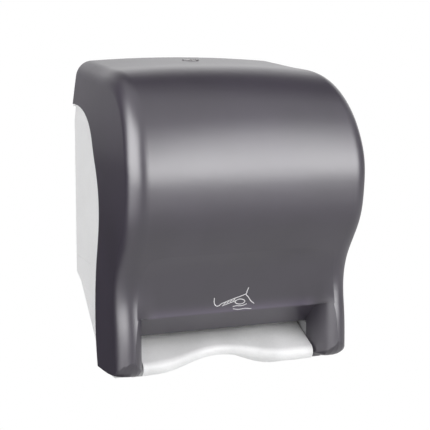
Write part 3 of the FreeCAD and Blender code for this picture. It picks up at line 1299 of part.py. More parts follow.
# Lock in the cover's top: body, nut, turning plug and cam, and the strike it catches
LOCK_PLUG = 4.0
LOCK_FLANGE = 10.5
LOCK_PROUD = 0.8
NUT_RADIUS = 10.4
CAM_START = 16.4
CAM_THICK = 2.0
CAM_REACH = 18.0


def lock_rod(name, radius, above, below):
    """A cylinder on the lock's axis, from above the cover's top to below it."""
    item = doc.addObject("Part::Cylinder", name)
    up = lock_direction() * -1
    item.Placement.Rotation = FreeCAD.Rotation(Z_AXIS, up)
    bind(item, Radius=radius, Height=above + below)
    spot = lock_top() - up * below
    place(item, spot.x, f"-lock_depth + {spot.y + size.lock_depth}", spot.z)
    return item


def lock_block(name, length, width, height, x, y, z):
    """A box in the lock's own frame, whose origin is on the cover's top."""
    item = doc.addObject("Part::Box", name)
    item.Placement.Rotation = FreeCAD.Rotation(Z_AXIS, lock_direction() * -1)
    bind(item, Length=length, Width=width, Height=height)
    spot = lock_top() + item.Placement.Rotation.multVec(FreeCAD.Vector(x, y, z))
    place(item, spot.x, spot.y, spot.z)
    return item


lock_blank = join("lock_body_joined", [lock_rod("lock_flange", LOCK_FLANGE, LOCK_PROUD, -0.2),
                                       lock_rod("lock_tube", "lock_radius", 0.6, 15)])
keep(carve("lock_body_cut", lock_blank, [lock_rod("lock_bore", f"{LOCK_PLUG} + running_gap", 4, 20)]),
     "lock_body")
nut_top = size.cover_wall - 0.5 + LOCK_BOSS
nut = doc.addObject("Part::Prism", "nut_blank")
nut.Polygon = 6
nut.Placement.Rotation = FreeCAD.Rotation(Z_AXIS, lock_direction() * -1)
bind(nut, Circumradius=NUT_RADIUS, Height=3)
nut_spot = lock_top() + lock_direction() * (nut_top + 3)
place(nut, nut_spot.x, nut_spot.y, nut_spot.z)
keep(carve("nut_cut", nut, [lock_rod("nut_bore", "lock_radius", 0, 30)]), "lock_nut")
plug = join("plug_joined", [lock_rod("plug_core", LOCK_PLUG, LOCK_PROUD, CAM_START),
                            lock_block("plug_square", 5, 5, CAM_THICK, -2.5, -2.5, -CAM_START - CAM_THICK)])
keyway = lock_block("plug_keyway", 1.4, 6, 9, -0.7, -3, -7)
keep(carve("plug_cut", plug, [keyway]), "lock_plug")
cam = join("cam_joined", [
    lock_rod("cam_round", 4.5, -CAM_START, CAM_START + CAM_THICK),
    lock_block("cam_tongue", 9, CAM_REACH, CAM_THICK, -4.5, 0, -CAM_START - CAM_THICK)])
cam_hole = lock_block("cam_hole", 5, 5, 6, -2.5, -2.5, -CAM_START - 4)
keep(carve("cam_cut", cam, [cam_hole]), "lock_cam")

STRIKE_THICK = 1.5
strike_low = STRIKE_SEAT - STRIKE_THICK
strike_parts = [
    block("strike_foot", 20, 14, STRIKE_THICK, 24, -19.5, strike_low),
    block("strike_arm", 16, 23.1, STRIKE_THICK, 24, -42.6, strike_low),
    block("strike_cross", 15, 5, STRIKE_THICK, 10, -42.6, strike_low),
    block("strike_tab", 14, STRIKE_THICK, 7.7, 10, -42.6, strike_low),
]
strike_holes = [rod(f"strike_hole_{i}", 1.5, 4, x, -12.5, strike_low - 1, "Z")
                for i, x in enumerate(STRIKE_SCREWS_X)]
keep(carve("strike_cut", join("strike_joined", strike_parts), strike_holes), "lock_strike")
screws = [screw(f"strike_screw_{i}", 1.25, 9, 2.6, 1.4, (x, -12.5, strike_low), "Z")
          for i, x in enumerate(STRIKE_SCREWS_X)]
keep(group("strike_screw_pair", screws), "strike_screws")

# Leads held inside: straight runs with tangent bends
LEAD_RADIUS = 1.5
LEAD_BEND = 5.0


def lead_shape(spots):
    """A round lead along straight runs, each corner turned on a tangent arc."""
    points = [side_point(depth, height, x) for x, depth, height in spots]
    edges = []
    start = points[0]
    for before, corner, after in zip(points, points[1:], points[2:]):
        incoming = (before - corner).normalize()
        outgoing = (after - corner).normalize()
        half_angle = incoming.getAngle(outgoing) / 2
        back = LEAD_BEND / math.tan(half_angle)
        middle_way = (incoming + outgoing).normalize()
        centre = corner + middle_way * (LEAD_BEND / math.sin(half_angle))
        first, last = corner + incoming * back, corner + outgoing * back
        edges.append(Part.makeLine(start, first))
        edges.append(Part.Arc(first, centre - middle_way * LEAD_BEND, last).toShape())
        start = last
    edges.append(Part.makeLine(start, points[-1]))
    spine = Part.Wire(edges)
    ring = Part.Wire(Part.makeCircle(LEAD_RADIUS, points[0], points[1] - points[0]))
    return spine.makePipeShell([ring], True, True)


LEADS = {
    "battery_lead": [(-128, 25, 125), (-134.6, 25, 125), (-134.6, 58, 100), (PANEL_X, 66, 100),
                     (PANEL_X, 78, 100)],
    "motor_lead": [(78.6, 70, 92), (66, 70, 92), (54, 57, 92), (PANEL_X, 57, 92), (PANEL_X, 78, 92)],
    "sensor_lead": [(WAVE_MIDDLE - 15, 131, 12.4), (-92, 131, 12.4),
                    (-104, SENSOR_LEAD_SPOT[0], SENSOR_LEAD_SPOT[1]),
                    (PANEL_X, SENSOR_LEAD_SPOT[0], SENSOR_LEAD_SPOT[1]),
                    (PANEL_X, SENSOR_LEAD_SPOT[0], 64)],
}
for name, spots in LEADS.items():
    keep(solid_feature(f"{name}_sweep", lead_shape(spots)), name)

# Check every object and write one file for each sub-part
doc.recompute()
for item in doc.Objects:
    if "Invalid" in item.State or "Error" in item.State:
        raise ValueError(f"{item.Name} did not compute: {item.State}")
for item in pieces:
    shape = item.Shape
    if shape.isNull() or not shape.isValid():
        raise ValueError(f"{item.Label} has no sound shape")
    shape.exportStep(os.path.join("parts", item.Label + ".step"))
    print(item.Label, len(shape.Solids), round(shape.Volume / 1000, 2))
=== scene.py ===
import json
import logging
import math
from dataclasses import dataclass
from enum import Enum

import bpy
import numpy as np
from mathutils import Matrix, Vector
from mathutils.bvhtree import BVHTree


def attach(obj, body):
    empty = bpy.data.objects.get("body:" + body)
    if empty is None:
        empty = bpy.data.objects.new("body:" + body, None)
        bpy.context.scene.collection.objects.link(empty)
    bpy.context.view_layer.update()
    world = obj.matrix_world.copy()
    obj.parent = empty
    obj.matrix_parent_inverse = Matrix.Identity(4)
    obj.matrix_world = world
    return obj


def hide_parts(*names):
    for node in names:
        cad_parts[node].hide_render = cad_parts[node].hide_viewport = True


# Automatic roll towel dispenser: finishes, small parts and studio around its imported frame.
# Metres. X to the right, Y into the wall, Z up; the wall screws' centre is the origin.
# Heights called "over the feet" are counted from the feet of the cover's legs.

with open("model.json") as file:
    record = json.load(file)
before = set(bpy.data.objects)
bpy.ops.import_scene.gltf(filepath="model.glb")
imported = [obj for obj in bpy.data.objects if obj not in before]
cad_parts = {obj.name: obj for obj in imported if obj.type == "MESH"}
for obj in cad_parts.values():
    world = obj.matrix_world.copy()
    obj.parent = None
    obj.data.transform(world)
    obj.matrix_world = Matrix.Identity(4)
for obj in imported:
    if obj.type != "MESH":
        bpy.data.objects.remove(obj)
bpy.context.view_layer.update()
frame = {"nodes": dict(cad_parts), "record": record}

logging.basicConfig(level=logging.INFO, format="%(message)s")
log = logging.getLogger("dispenser")

MM = 0.001
DATUM_HEIGHT = 236.2

WHITE = (1.0, 1.0, 1.0, 1.0)

Colour = tuple[float, float, float]
Triple = tuple[float, float, float]
Number = float | int
Surface = tuple[np.ndarray, list[list[int]]]


def spot(x: float, depth: float, height: float) -> np.ndarray:
    """A point from millimetres: sideways, out from the wall, over the feet."""
    return np.array([x, -depth, height - DATUM_HEIGHT]) * MM


# Shader maths


class Channel:
    """A node's output socket that takes part in arithmetic on plain values."""

    def __init__(self, graph: "Graph", socket: bpy.types.NodeSocket) -> None:
        """Remembers the graph and the socket."""
        self.graph = graph
        self.socket = socket

    def combine(self, operation: str, first: "Channel | Number",
                second: "Channel | Number") -> "Channel":
        """Adds one Math node.

        Args:
            operation: the Math node's operation.
            first: left operand, a channel or a number.
            second: right operand, a channel or a number.

        Returns:
            The node's result.
        """
        node = self.graph.node("ShaderNodeMath", {"operation": operation}, {0: first, 1: second})
        return Channel(self.graph, node.outputs[0])

    def __add__(self, other: "Channel | Number") -> "Channel":
        """Sum."""
        return self.combine("ADD", self, other)

    def __radd__(self, other: Number) -> "Channel":
        """Sum with a number on the left."""
        return self.combine("ADD", other, self)

    def __sub__(self, other: "Channel | Number") -> "Channel":
        """Difference."""
        return self.combine("SUBTRACT", self, other)

    def __rsub__(self, other: Number) -> "Channel":
        """Difference with a number on the left."""
        return self.combine("SUBTRACT", other, self)

    def __mul__(self, other: "Channel | Number") -> "Channel":
        """Product."""
        return self.combine("MULTIPLY", self, other)

    def __rmul__(self, other: Number) -> "Channel":
        """Product with a number on the left."""
        return self.combine("MULTIPLY", other, self)

    def __truediv__(self, other: "Channel | Number") -> "Channel":
        """Quotient."""
        return self.combine("DIVIDE", self, other)

    def __rtruediv__(self, other: Number) -> "Channel":
        """Quotient with a number on the left."""
        return self.combine("DIVIDE", other, self)

    def larger(self, other: "Channel | Number") -> "Channel":
        """The larger of two values."""
        return self.combine("MAXIMUM", self, other)

    def smaller(self, other: "Channel | Number") -> "Channel":
        """The smaller of two values."""
        return self.combine("MINIMUM", self, other)

    def power(self, exponent: Number) -> "Channel":
        """This channel raised to a power."""
        return self.combine("POWER", self, exponent)

    def within(self, low: Number, high: Number) -> "Channel":
        """This channel held between two numbers."""
        return self.larger(low).smaller(high)


class Graph:
    """The node tree of one material or world, emptied and then filled."""

    def __init__(self, tree: bpy.types.NodeTree) -> None:
        """Takes over a node tree."""
        tree.nodes.clear()
        self.tree = tree

    def node(self, kind: str, settings: dict, inputs: dict) -> bpy.types.Node:
        """Adds one node.

        Args:
            kind: the node's type name.
            settings: attributes, set first.
            inputs: values or links by socket name or index.

        Returns:
            The new node.
        """
        made = self.tree.nodes.new(kind)
        for name, value in settings.items():
            setattr(made, name, value)
        for name, value in inputs.items():
            if isinstance(value, Channel):
                value = value.socket
            if isinstance(value, bpy.types.NodeSocket):
                self.tree.links.new(value, made.inputs[name])
            else:
                made.inputs[name].default_value = value
        return made

    def channel(self, node: bpy.types.Node, output: str | int = 0) -> Channel:
        """One output of a node as a channel."""
        return Channel(self, node.outputs[output])

    def blend(self, factor: Channel | Number, first: object, second: object) -> bpy.types.NodeSocket:
        """Mixes two colours.

        Args:
            factor: 0 gives the first colour, 1 the second.
            first: colour tuple or socket.
            second: colour tuple or socket.

        Returns:
            The mixed colour's socket.
        """
        ends = [(*end, 1.0) if isinstance(end, tuple) else end for end in (first, second)]
        node = self.node("ShaderNodeMix", {"data_type": "RGBA"}, {0: factor, 6: ends[0], 7: ends[1]})
        return node.outputs[2]

    def position(self, centre: Triple = (0.0, 0.0, 0.0),
                 scale: Triple = (1.0, 1.0, 1.0)) -> bpy.types.NodeSocket:
        """Object coordinates, moved so that a centre is at 0 and then scaled.

        Args:
            centre: point that becomes the pattern's origin.
            scale: stretch of the pattern along each axis.

        Returns:
            The coordinates' socket.
        """
        coordinates = self.node("ShaderNodeTexCoord", {}, {}).outputs["Object"]
        shift = tuple(-c * s for c, s in zip(centre, scale))
        mapping = self.node("ShaderNodeMapping", {},
                            {"Vector": coordinates, "Location": shift, "Scale": scale})
        return mapping.outputs[0]

    def noise(self, scale: float, detail: float = 3.0,
              where: bpy.types.NodeSocket | None = None) -> Channel:
        """Noise from 0 to 1 around 0.5.

        Args:
            scale: features for each metre.
            detail: number of finer layers.
            where: coordinates, or None for Object coordinates.

        Returns:
            The noise value.
        """
        where = where or self.position()
        node = self.node("ShaderNodeTexNoise", {},
                         {"Vector": where, "Scale": scale, "Detail": detail})
        return self.channel(node, 0)

    def step(self, value: Channel, low: float, high: float) -> Channel:
        """0 below low, 1 above high, and a smooth rise between them."""
        node = self.node("ShaderNodeMapRange", {"interpolation_type": "SMOOTHSTEP"},
                         {"Value": value, "From Min": low, "From Max": high})
        return self.channel(node, 0)


# Finishes


class Grain(Enum):
    """What the surface of a finish is like close up."""

    MOULDED = "fine even texture of a moulded plastic"
    SPECKLED = "pale plastic with fine light and dark specks"
    SMOOTH = "polished plastic"
    BRUSHED = "metal brushed along X"
    CAST = "rolled or plated metal"
    RUBBER = "ground rubber"
    WRAP = "printed sleeve"
    BOARD = "circuit board with tracks"


@dataclass(frozen=True)
class Finish:
    """One finish, and how its material is built.

    Colours are linear. Grain sizes are in metres, and grain_scale counts features in a metre.
    """

    slot: str
    colour: Colour
    roughness: float
    grain: Grain = Grain.MOULDED
    metallic: float = 0.0
    specular: float = 0.5
    index: float = 1.5
    coat: float = 0.0
    coat_roughness: float = 0.12
    grain_scale: float = 1400.0
    grain_depth: float = 0.00003
    variation: float = 0.06
    smudge: float = 0.06

    def build(self) -> bpy.types.Material:
        """Makes the material.

        Returns:
            The new material, named after its slot.
        """
        material = bpy.data.materials.new(f"finish_{self.slot}")
        material.use_nodes = True
        graph = Graph(material.node_tree)
        cloud = graph.noise(22.0, 4.0)
        fine = graph.noise(self.grain_scale, 2.0)
        colour = self.paint(graph, cloud, fine)
        smudges = graph.noise(9.0, 5.0) + fine - 1.0
        roughness = self.roughness + smudges * self.smudge
        bump = graph.node("ShaderNodeBump", {}, {
            "Height": self.relief(graph, fine), "Strength": 1.0, "Distance": self.grain_depth})
        shader = graph.node("ShaderNodeBsdfPrincipled", {}, {
            "Base Color": colour, "Roughness": roughness, "Metallic": self.metallic,
            "Specular IOR Level": self.specular, "IOR": self.index, "Coat Weight": self.coat,
            "Coat Roughness": self.coat_roughness, "Normal": bump.outputs[0]})
        graph.node("ShaderNodeOutputMaterial", {}, {"Surface": shader.outputs[0]})
        return material

    def shade(self, factor: float) -> Colour:
        """The finish's colour made lighter or darker."""
        return tuple(min(part * factor, 1.0) for part in self.colour)

    def paint(self, graph: Graph, cloud: Channel, fine: Channel) -> object:
        """Base colour over the surface: a slow drift between two shades, and what the grain adds.

        Args:
            graph: the material's graph.
            cloud: slow noise.
            fine: noise of the grain.

        Returns:
            The colour's socket.
        """
        drift = graph.step(cloud, 0.3, 0.7)
        base = graph.blend(drift, self.shade(1 - self.variation), self.shade(1 + self.variation))
        if self.grain is Grain.SPECKLED:
            light = graph.step(graph.noise(2600.0, 1.0), 0.56, 0.68)
            dark = graph.step(graph.noise(2100.0, 1.0, graph.position((3.0, 5.0, 7.0))), 0.57, 0.7)
            base = graph.blend(light * 0.55, base, self.shade(1.22))
            base = graph.blend(dark * 0.5, base, self.shade(0.72))
        elif self.grain is Grain.BRUSHED:
            lines = graph.noise(500.0, 3.0, graph.position(scale=(0.03, 1.0, 1.0)))
            base = graph.blend(graph.step(lines, 0.35, 0.65), self.shade(0.86), self.shade(1.1))
        elif self.grain is Grain.RUBBER:
            base = graph.blend(graph.step(fine, 0.5, 0.75) * 0.35, base, self.shade(1.8))
        elif self.grain is Grain.BOARD:
            tracks = graph.node("ShaderNodeTexBrick", {"offset": 0.37}, {
                "Vector": graph.position(), "Scale": 90.0, "Mortar Size": 0.03, "Mortar Smooth": 0.2})
            base = graph.blend(graph.channel(tracks, "Fac") * 0.55, base, self.shade(2.1))
        return base

    def relief(self, graph: Graph, fine: Channel) -> Channel:
        """Height of the grain, 0 to 1.

        Args:
            graph: the material's graph.
            fine: noise of the grain.

        Returns:
            The height.
        """
        if self.grain is Grain.BRUSHED:
            return graph.noise(1500.0, 2.0, graph.position(scale=(0.02, 1.0, 1.0)))
        if self.grain is Grain.SMOOTH:
            return graph.noise(60.0, 2.0)
        if self.grain is Grain.CAST:
            return graph.noise(350.0, 4.0) * 0.6 + fine * 0.4
        return fine


@dataclass(frozen=True)
class SmokeFinish(Finish):
    """Smoky grey plastic with a faint flow pattern, and a painted highlight just above the crease over
    the lip.
    """

    flow: float = 0.1
    # Place and size of the painted highlight band over the lip, in metres.
    crease: float = -0.1717
    highlight_band_height: float = 0.020
    highlight_band_half: float = 0.108

    def paint(self, graph: Graph, cloud: Channel, fine: Channel) -> object:
        """Violet-grey body colour with a flow pattern that runs down the cover, a painted highlight
        above the crease, and fine pale specks.

        Args:
            graph: the material's graph.
            cloud: slow noise.
            fine: noise of the grain; not used.

        Returns:
            The colour's socket.
        """
        streaks = graph.noise(16.0, 3.0, graph.position(scale=(1.0, 1.0, 0.35)))
        flow = graph.step(streaks * 0.6 + cloud * 0.4, 0.36, 0.64)
        base = graph.blend(flow, self.shade(1 - self.flow), self.shade(1 + self.flow))
        specks = graph.step(graph.noise(3200.0, 1.0), 0.62, 0.72)
        # Painted highlight: the dish turns much paler just above the crease, where light catches the
        # roll over the lip.
        base = graph.blend(self.painted_highlight_band(graph) * 0.9, base, self.shade(4.2))
        return graph.blend(specks * 0.25, base, self.shade(1.5))

    def painted_highlight_band(self, graph: Graph) -> Channel:
        """How strong the painted highlight on the dish is above the crease: t squared, then quickly
        back to nothing at it.

        Here t runs from 0 at highlight_band_height above the crease to 1 at the crease.

        Args:
            graph: the material's graph.

        Returns:
            The share of painted highlight colour, 0 to 1.
        """
        split = graph.node("ShaderNodeSeparateXYZ", {}, {0: graph.position()})
        x, z = graph.channel(split, 0), graph.channel(split, 2)
        share = ((self.crease + self.highlight_band_height - z) / self.highlight_band_height).within(0.0, 1.0)
        back = 1 - graph.step(self.crease - z, -0.003, 0.001)
        inside = 1 - graph.step(x * x, 0.85 * self.highlight_band_half ** 2, 1.1 * self.highlight_band_half ** 2)
        return share * share * back * inside


@dataclass(frozen=True)
class CellFinish(Finish):
    """Battery sleeve: a dark body, a pale band near each plus end, and bare steel ends."""

    first_end: float = -0.122
    cell_length: float = 0.061
    print_pale: Colour = (0.62, 0.60, 0.55)
    bare_steel: Colour = (0.55, 0.54, 0.52)

    def paint(self, graph: Graph, cloud: Channel, fine: Channel) -> object:
        """Bands by distance along each cell, found from X.

        Args:
            graph: the material's graph.
            cloud: slow noise.
            fine: noise of the grain; not used.

        Returns:
            The colour's socket.
        """
        place = graph.position((self.first_end, 0.0, 0.0))
        split = graph.node("ShaderNodeSeparateXYZ", {}, {0: place})
        cells = graph.channel(split, 0) / self.cell_length
        along = cells - cells.combine("FLOOR", cells, 0.0)
        band = graph.step(along, 0.70, 0.71) * (1 - graph.step(along, 0.955, 0.96))
        stripe = graph.step(along, 0.66, 0.665) * (1 - graph.step(along, 0.685, 0.69))
        ends = (1 - graph.step(along, 0.015, 0.02)) + graph.step(along, 0.96, 0.965)
        base = graph.blend(graph.step(cloud, 0.3, 0.7), self.shade(0.85), self.shade(1.15))
        base = graph.blend(band, base, self.print_pale)
        base = graph.blend(stripe, base, self.print_pale)
        return graph.blend(ends.smaller(1.0), base, self.bare_steel)


FINISHES = [
    SmokeFinish("cover_smoke", (0.026, 0.0205, 0.0335), 0.36, specular=1.0, index=1.6,
                grain_scale=2400.0, grain_depth=0.000012, smudge=0.05),
    Finish("housing_grey", (0.78, 0.78, 0.785), 0.5, Grain.SPECKLED, grain_scale=1800.0,
           variation=0.02),
    Finish("chute_silver", (0.84, 0.84, 0.845), 0.42, Grain.SPECKLED, grain_scale=2200.0,
           variation=0.06, grain_depth=0.00004),
    Finish("chassis_grey", (0.42, 0.42, 0.43), 0.5, variation=0.04),
    Finish("black_plastic", (0.022, 0.022, 0.024), 0.42, grain_depth=0.00004),
    Finish("arm_white", (0.68, 0.68, 0.66), 0.42, variation=0.03),
    Finish("hub_blue", (0.05, 0.16, 0.38), 0.4, variation=0.05),
    Finish("button_blue", (0.03, 0.13, 0.42), 0.34, variation=0.04),
    Finish("switch_white", (0.72, 0.72, 0.70), 0.4, variation=0.03),
    Finish("natural_nylon", (0.70, 0.67, 0.58), 0.45, variation=0.05),
    Finish("roller_rubber", (0.028, 0.028, 0.028), 0.72, Grain.RUBBER, specular=0.35,
           grain_scale=1100.0, grain_depth=0.00012),
    Finish("pinch_rubber", (0.09, 0.09, 0.092), 0.66, Grain.RUBBER, specular=0.35,
           grain_scale=1100.0, grain_depth=0.0001),
    Finish("steel", (0.56, 0.56, 0.57), 0.28, Grain.BRUSHED, metallic=1.0, grain_depth=0.000008),
    Finish("zinc", (0.60, 0.61, 0.63), 0.34, Grain.CAST, metallic=1.0, grain_depth=0.00001),
    Finish("blade_steel", (0.60, 0.60, 0.61), 0.24, Grain.BRUSHED, metallic=1.0, grain_depth=0.000006),
    Finish("spring_steel", (0.50, 0.50, 0.52), 0.3, Grain.CAST, metallic=1.0, grain_depth=0.000008),
    Finish("motor_can", (0.52, 0.52, 0.54), 0.32, Grain.BRUSHED, metallic=1.0, grain_depth=0.000008),
    Finish("brass", (0.70, 0.50, 0.20), 0.28, Grain.CAST, metallic=1.0, grain_depth=0.000008),
    Finish("contact_nickel", (0.64, 0.61, 0.55), 0.26, Grain.CAST, metallic=1.0, grain_depth=0.000006),
    Finish("lock_nickel", (0.34, 0.33, 0.335), 0.5, Grain.CAST, metallic=1.0, grain_depth=0.000006),
    Finish("board_green", (0.02, 0.11, 0.05), 0.38, Grain.BOARD, grain_depth=0.00002),
    Finish("light_lens", (0.75, 0.78, 0.74), 0.15, Grain.SMOOTH, coat=0.6, grain_depth=0.00002),
    Finish("window_dark", (0.015, 0.006, 0.010), 0.12, Grain.SMOOTH, coat=0.5, grain_depth=0.00002),
    CellFinish("cell_wrap", (0.03, 0.045, 0.09), 0.3, Grain.WRAP, grain_depth=0.00001),
    Finish("lead_black", (0.02, 0.02, 0.022), 0.4, grain_depth=0.00002),
    Finish("lead_grey", (0.30, 0.30, 0.31), 0.4, grain_depth=0.00002),
]
SIGN_FINISH = Finish("sign_ink", (0.78, 0.775, 0.79), 0.5, variation=0.05, grain_depth=0.00001)


class Wardrobe:
    """Every finish's material, built once and handed out by slot."""

    def __init__(self) -> None:
        """Builds all materials."""
        self.materials = {finish.slot: finish.build() for finish in FINISHES + [SIGN_FINISH]}
        self.slots = {part["node"]: part["material_slot"] for part in frame["record"]["subparts"]}

    def dress_node(self, node: str) -> None:
        """Puts the slot's material on a CAD node."""
        item = frame["nodes"][node]
        for slot in item.material_slots:
            slot.material = self.materials[self.slots[node]]

    def dress_piece(self, piece: bpy.types.Object, slot: str) -> None:
        """Gives a new piece the material of a slot."""
        piece.data.materials.append(self.materials[slot])


# Surfaces


def grid_faces(rows: int, columns: int, closed: bool) -> list[list[int]]:
    """Quads of a grid of points.

    Args:
        rows: number of rows.
        columns: points in each row.
        closed: True where the last column joins the first.

    Returns:
        Corner numbers of each quad, facing out where columns run anticlockwise round the rows.
    """
    across = columns if closed else columns - 1
    row, column = np.meshgrid(np.arange(rows - 1), np.arange(across), indexing="ij")
    here = row * columns + column
    there = row * columns + (column + 1) % columns
    quads = np.stack([here, there, there + columns, here + columns], axis=-1)
    return quads.reshape(-1, 4).tolist()


def fan_faces(first: int, count: int, pole: int, outward: bool) -> list[list[int]]:
    """Triangles that close a ring of points onto a pole."""
    ring = first + np.arange(count)
    after = first + (np.arange(count) + 1) % count
    sides = (ring, after) if outward else (after, ring)
    return np.stack([*sides, np.full(count, pole)], axis=-1).tolist()


def make_piece(name: str, points: np.ndarray, faces: list[list[int]], body: str) -> bpy.types.Object:
    """A mesh object that rides on a body.

    Args:
        name: the piece's name.
        points: one row for each point.
        faces: corner numbers of each face.
        body: the CAD body it moves with.

    Returns:
        The new object, shaded smooth with sharp corners kept.
    """
    mesh = bpy.data.meshes.new(name)
    mesh.from_pydata(points.tolist(), [], faces)
    mesh.validate()
    mesh.shade_smooth()
    mesh.set_sharp_from_angle(angle=math.radians(35))
    piece = bpy.data.objects.new(name, mesh)
    bpy.context.scene.collection.objects.link(piece)
    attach(piece, body)
    return piece


def swept(path: np.ndarray, profile: np.ndarray, up: np.ndarray) -> Surface:
    """A profile carried along a path, with both ends closed onto a point.

    A point is path + u * side + v * lift, where side is square to the path and to up,
    lift is square to the path and side, and (u, v) runs round the profile.

    Args:
        path: points of the path, one row each.
        profile: points (u, v) round the profile, anticlockwise.
        up: the lift wanted, one direction for all or one row for each point.

    Returns:
        Points and faces.
    """
    along = np.gradient(path, axis=0)
    along /= np.linalg.norm(along, axis=1, keepdims=True)
    side = np.cross(along, np.broadcast_to(up, path.shape))
    side /= np.linalg.norm(side, axis=1, keepdims=True)
    lift = np.cross(side, along)
    rings = path[:, None] + profile[None, :, :1] * side[:, None]
    rings = rings + profile[None, :, 1:] * lift[:, None]
    rows, columns = rings.shape[:2]
    points = np.vstack([rings.reshape(-1, 3), path[:1], path[-1:]])
    faces = [quad[::-1] for quad in grid_faces(rows, columns, True)]
    count = rows * columns
    faces += fan_faces(0, columns, count, True)
    faces += fan_faces(count - columns, columns, count + 1, False)
    return points, faces


def circle(radius: float, sides: int) -> np.ndarray:
    """Points (u, v) = radius * (cos a, sin a) round a circle."""
    angles = np.arange(sides) * 2 * np.pi / sides
    return radius * np.stack([np.cos(angles), np.sin(angles)], axis=-1)


def merged(parts: list[Surface]) -> Surface:
    """Joins several surfaces as one.

    Args:
        parts: points and faces of each.

    Returns:
        Points and faces of all.
    """
    faces = []
    start = 0
    for points, some in parts:
        faces += [[corner + start for corner in face] for face in some]
        start += len(points)
    return np.vstack([points for points, _ in parts]), faces


# Sub-assemblies


@dataclass
class Assembly:
    """A group of CAD nodes and the new pieces that go with them."""

    name: str
    nodes: tuple[str, ...]

    def dress(self, wardrobe: Wardrobe) -> None:
        """Puts each node's finish on it."""
        for node in self.nodes:
            wardrobe.dress_node(node)

    def build(self, wardrobe: Wardrobe) -> list[bpy.types.Object]:
        """Adds the group's new pieces; a plain group has none."""
        return []


@dataclass
class Cover(Assembly):
    """The smoky cover, with the sign of a hand under a towel on its dish. Sizes in millimetres."""

    sign_half_width: float = 27.0
    sign_low: float = 66.5
    sign_high: float = 96.0
    line_width: float = 1.0
    line_height: float = 0.16

    def build(self, wardrobe: Wardrobe) -> list[bpy.types.Object]:
        """Adds the sign."""
        return [self.build_sign(wardrobe)]

    def strokes(self) -> list[list[tuple[float, float]]]:
        """The sign's lines on a sheet 2 wide and 1 high: a towel in a frame over an open hand.

        Returns:
            Points (x, z) of each line, x from -1 to 1 and z from 0 to 1.
        """
        frame_line = [(-1.0, 0.66), (-0.97, 0.46), (-0.88, 0.32), (-0.74, 0.28), (-0.60, 0.38)]
        towel_top = [(-0.60, 0.38), (-0.10, 0.54), (0.47, 0.71), (0.53, 0.84), (0.57, 1.0)]
        towel_low = [(-0.56, 0.27), (-0.22, 0.37), (0.10, 0.47)]
        wrinkles = []
        for x in (-0.5, -0.36, -0.22, -0.08):
            climb = 0.31 * (x + 0.5)
            wrinkles.append([(x, 0.33 + climb), (x + 0.10, 0.41 + climb)])
        back = [(0.50, 0.70), (0.66, 0.56), (0.80, 0.40), (1.0, 0.26)]
        thumb = [(0.04, 0.40), (0.16, 0.50), (0.36, 0.50), (0.52, 0.40), (0.42, 0.30),
                 (0.20, 0.30), (0.04, 0.40)]
        fingers = [(-0.02, 0.19), (0.15, 0.22), (0.40, 0.20), (0.64, 0.27)]
        wrist = [(0.02, 0.09), (0.30, 0.04), (0.62, 0.06), (0.94, 0.02)]
        return [frame_line, towel_top, towel_low, back, thumb, fingers, wrist] + wrinkles

    def build_sign(self, wardrobe: Wardrobe) -> bpy.types.Object:
        """Thin raised lines that follow the dish.

        Each line is a curve through its points (x, z); y comes from the dish's own profile, met by rays
        from the front, and the line's profile is a low rounded strip on the dish's normal.

        Args:
            wardrobe: the finishes.

        Returns:
            The sign.
        """
        heights, depths, normals = self.dish_profile()
        half = self.line_width / 2 * MM
        rise = self.line_height * MM
        profile = np.array([(half, -rise), (half, 0.4 * rise), (0.6 * half, rise), (-0.6 * half, rise),
                            (-half, 0.4 * rise), (-half, -rise)])
        parts = []
        for stroke in self.strokes():
            line = rounded(np.array(stroke))
            x = line[:, 0] * self.sign_half_width * MM
            height = self.sign_low + line[:, 1] * (self.sign_high - self.sign_low)
            z = (height - DATUM_HEIGHT) * MM
            path = np.stack([x, np.interp(z, heights, depths), z], axis=-1)
            up = np.stack([np.interp(z, heights, normals[:, axis]) for axis in range(3)], axis=-1)
            parts.append(swept(path, profile, up))
        sign = make_piece("hand_sign", *merged(parts), "cover")
        sign.data.materials.append(wardrobe.materials[SIGN_FINISH.slot])
        return sign

    def dish_profile(self) -> tuple[np.ndarray, np.ndarray, np.ndarray]:
        """The dish's front line at mid width.

        Returns:
            Heights, Y of the surface and outward normals there, in metres.
        """
        shell = frame["nodes"]["front_cover"]
        tree = BVHTree.FromObject(shell, bpy.context.evaluated_depsgraph_get())
        heights = (np.linspace(self.sign_low - 1, self.sign_high + 1, 40) - DATUM_HEIGHT) * MM
        hits = [tree.ray_cast(Vector((0.003, -0.5, z)), Vector((0, 1, 0))) for z in heights]
        depths = np.array([hit[0].y for hit in hits])
        slope = np.gradient(depths, heights)
        normals = np.stack([np.zeros_like(slope), -np.ones_like(slope), slope], axis=-1)
        return heights, depths, normals / np.linalg.norm(normals, axis=1, keepdims=True)


def rounded(corners: np.ndarray, steps: int = 8) -> np.ndarray:
    """A smooth line through points: on each span the Catmull-Rom cubic of the four nearest points.

    Args:
        corners: the points, one row each.
        steps: points on each span.

    Returns:
        Points of the line.
    """
    closed = np.allclose(corners[0], corners[-1])
    before = corners[-2:-1] if closed else 2 * corners[:1] - corners[1:2]
    after = corners[1:2] if closed else 2 * corners[-1:] - corners[-2:-1]
    padded = np.vstack([before, corners, after])
    p0, p1, p2, p3 = padded[:-3, None], padded[1:-2, None], padded[2:-1, None], padded[3:, None]
    t = np.linspace(0, 1, steps, endpoint=False)[None, :, None]
    line = 0.5 * (2 * p1 + (p2 - p0) * t + (2 * p0 - 5 * p1 + 4 * p2 - p3) * t ** 2
                  + (3 * p1 - p0 - 3 * p2 + p3) * t ** 3)
    return np.vstack([line.reshape(-1, corners.shape[1]), corners[-1:]])


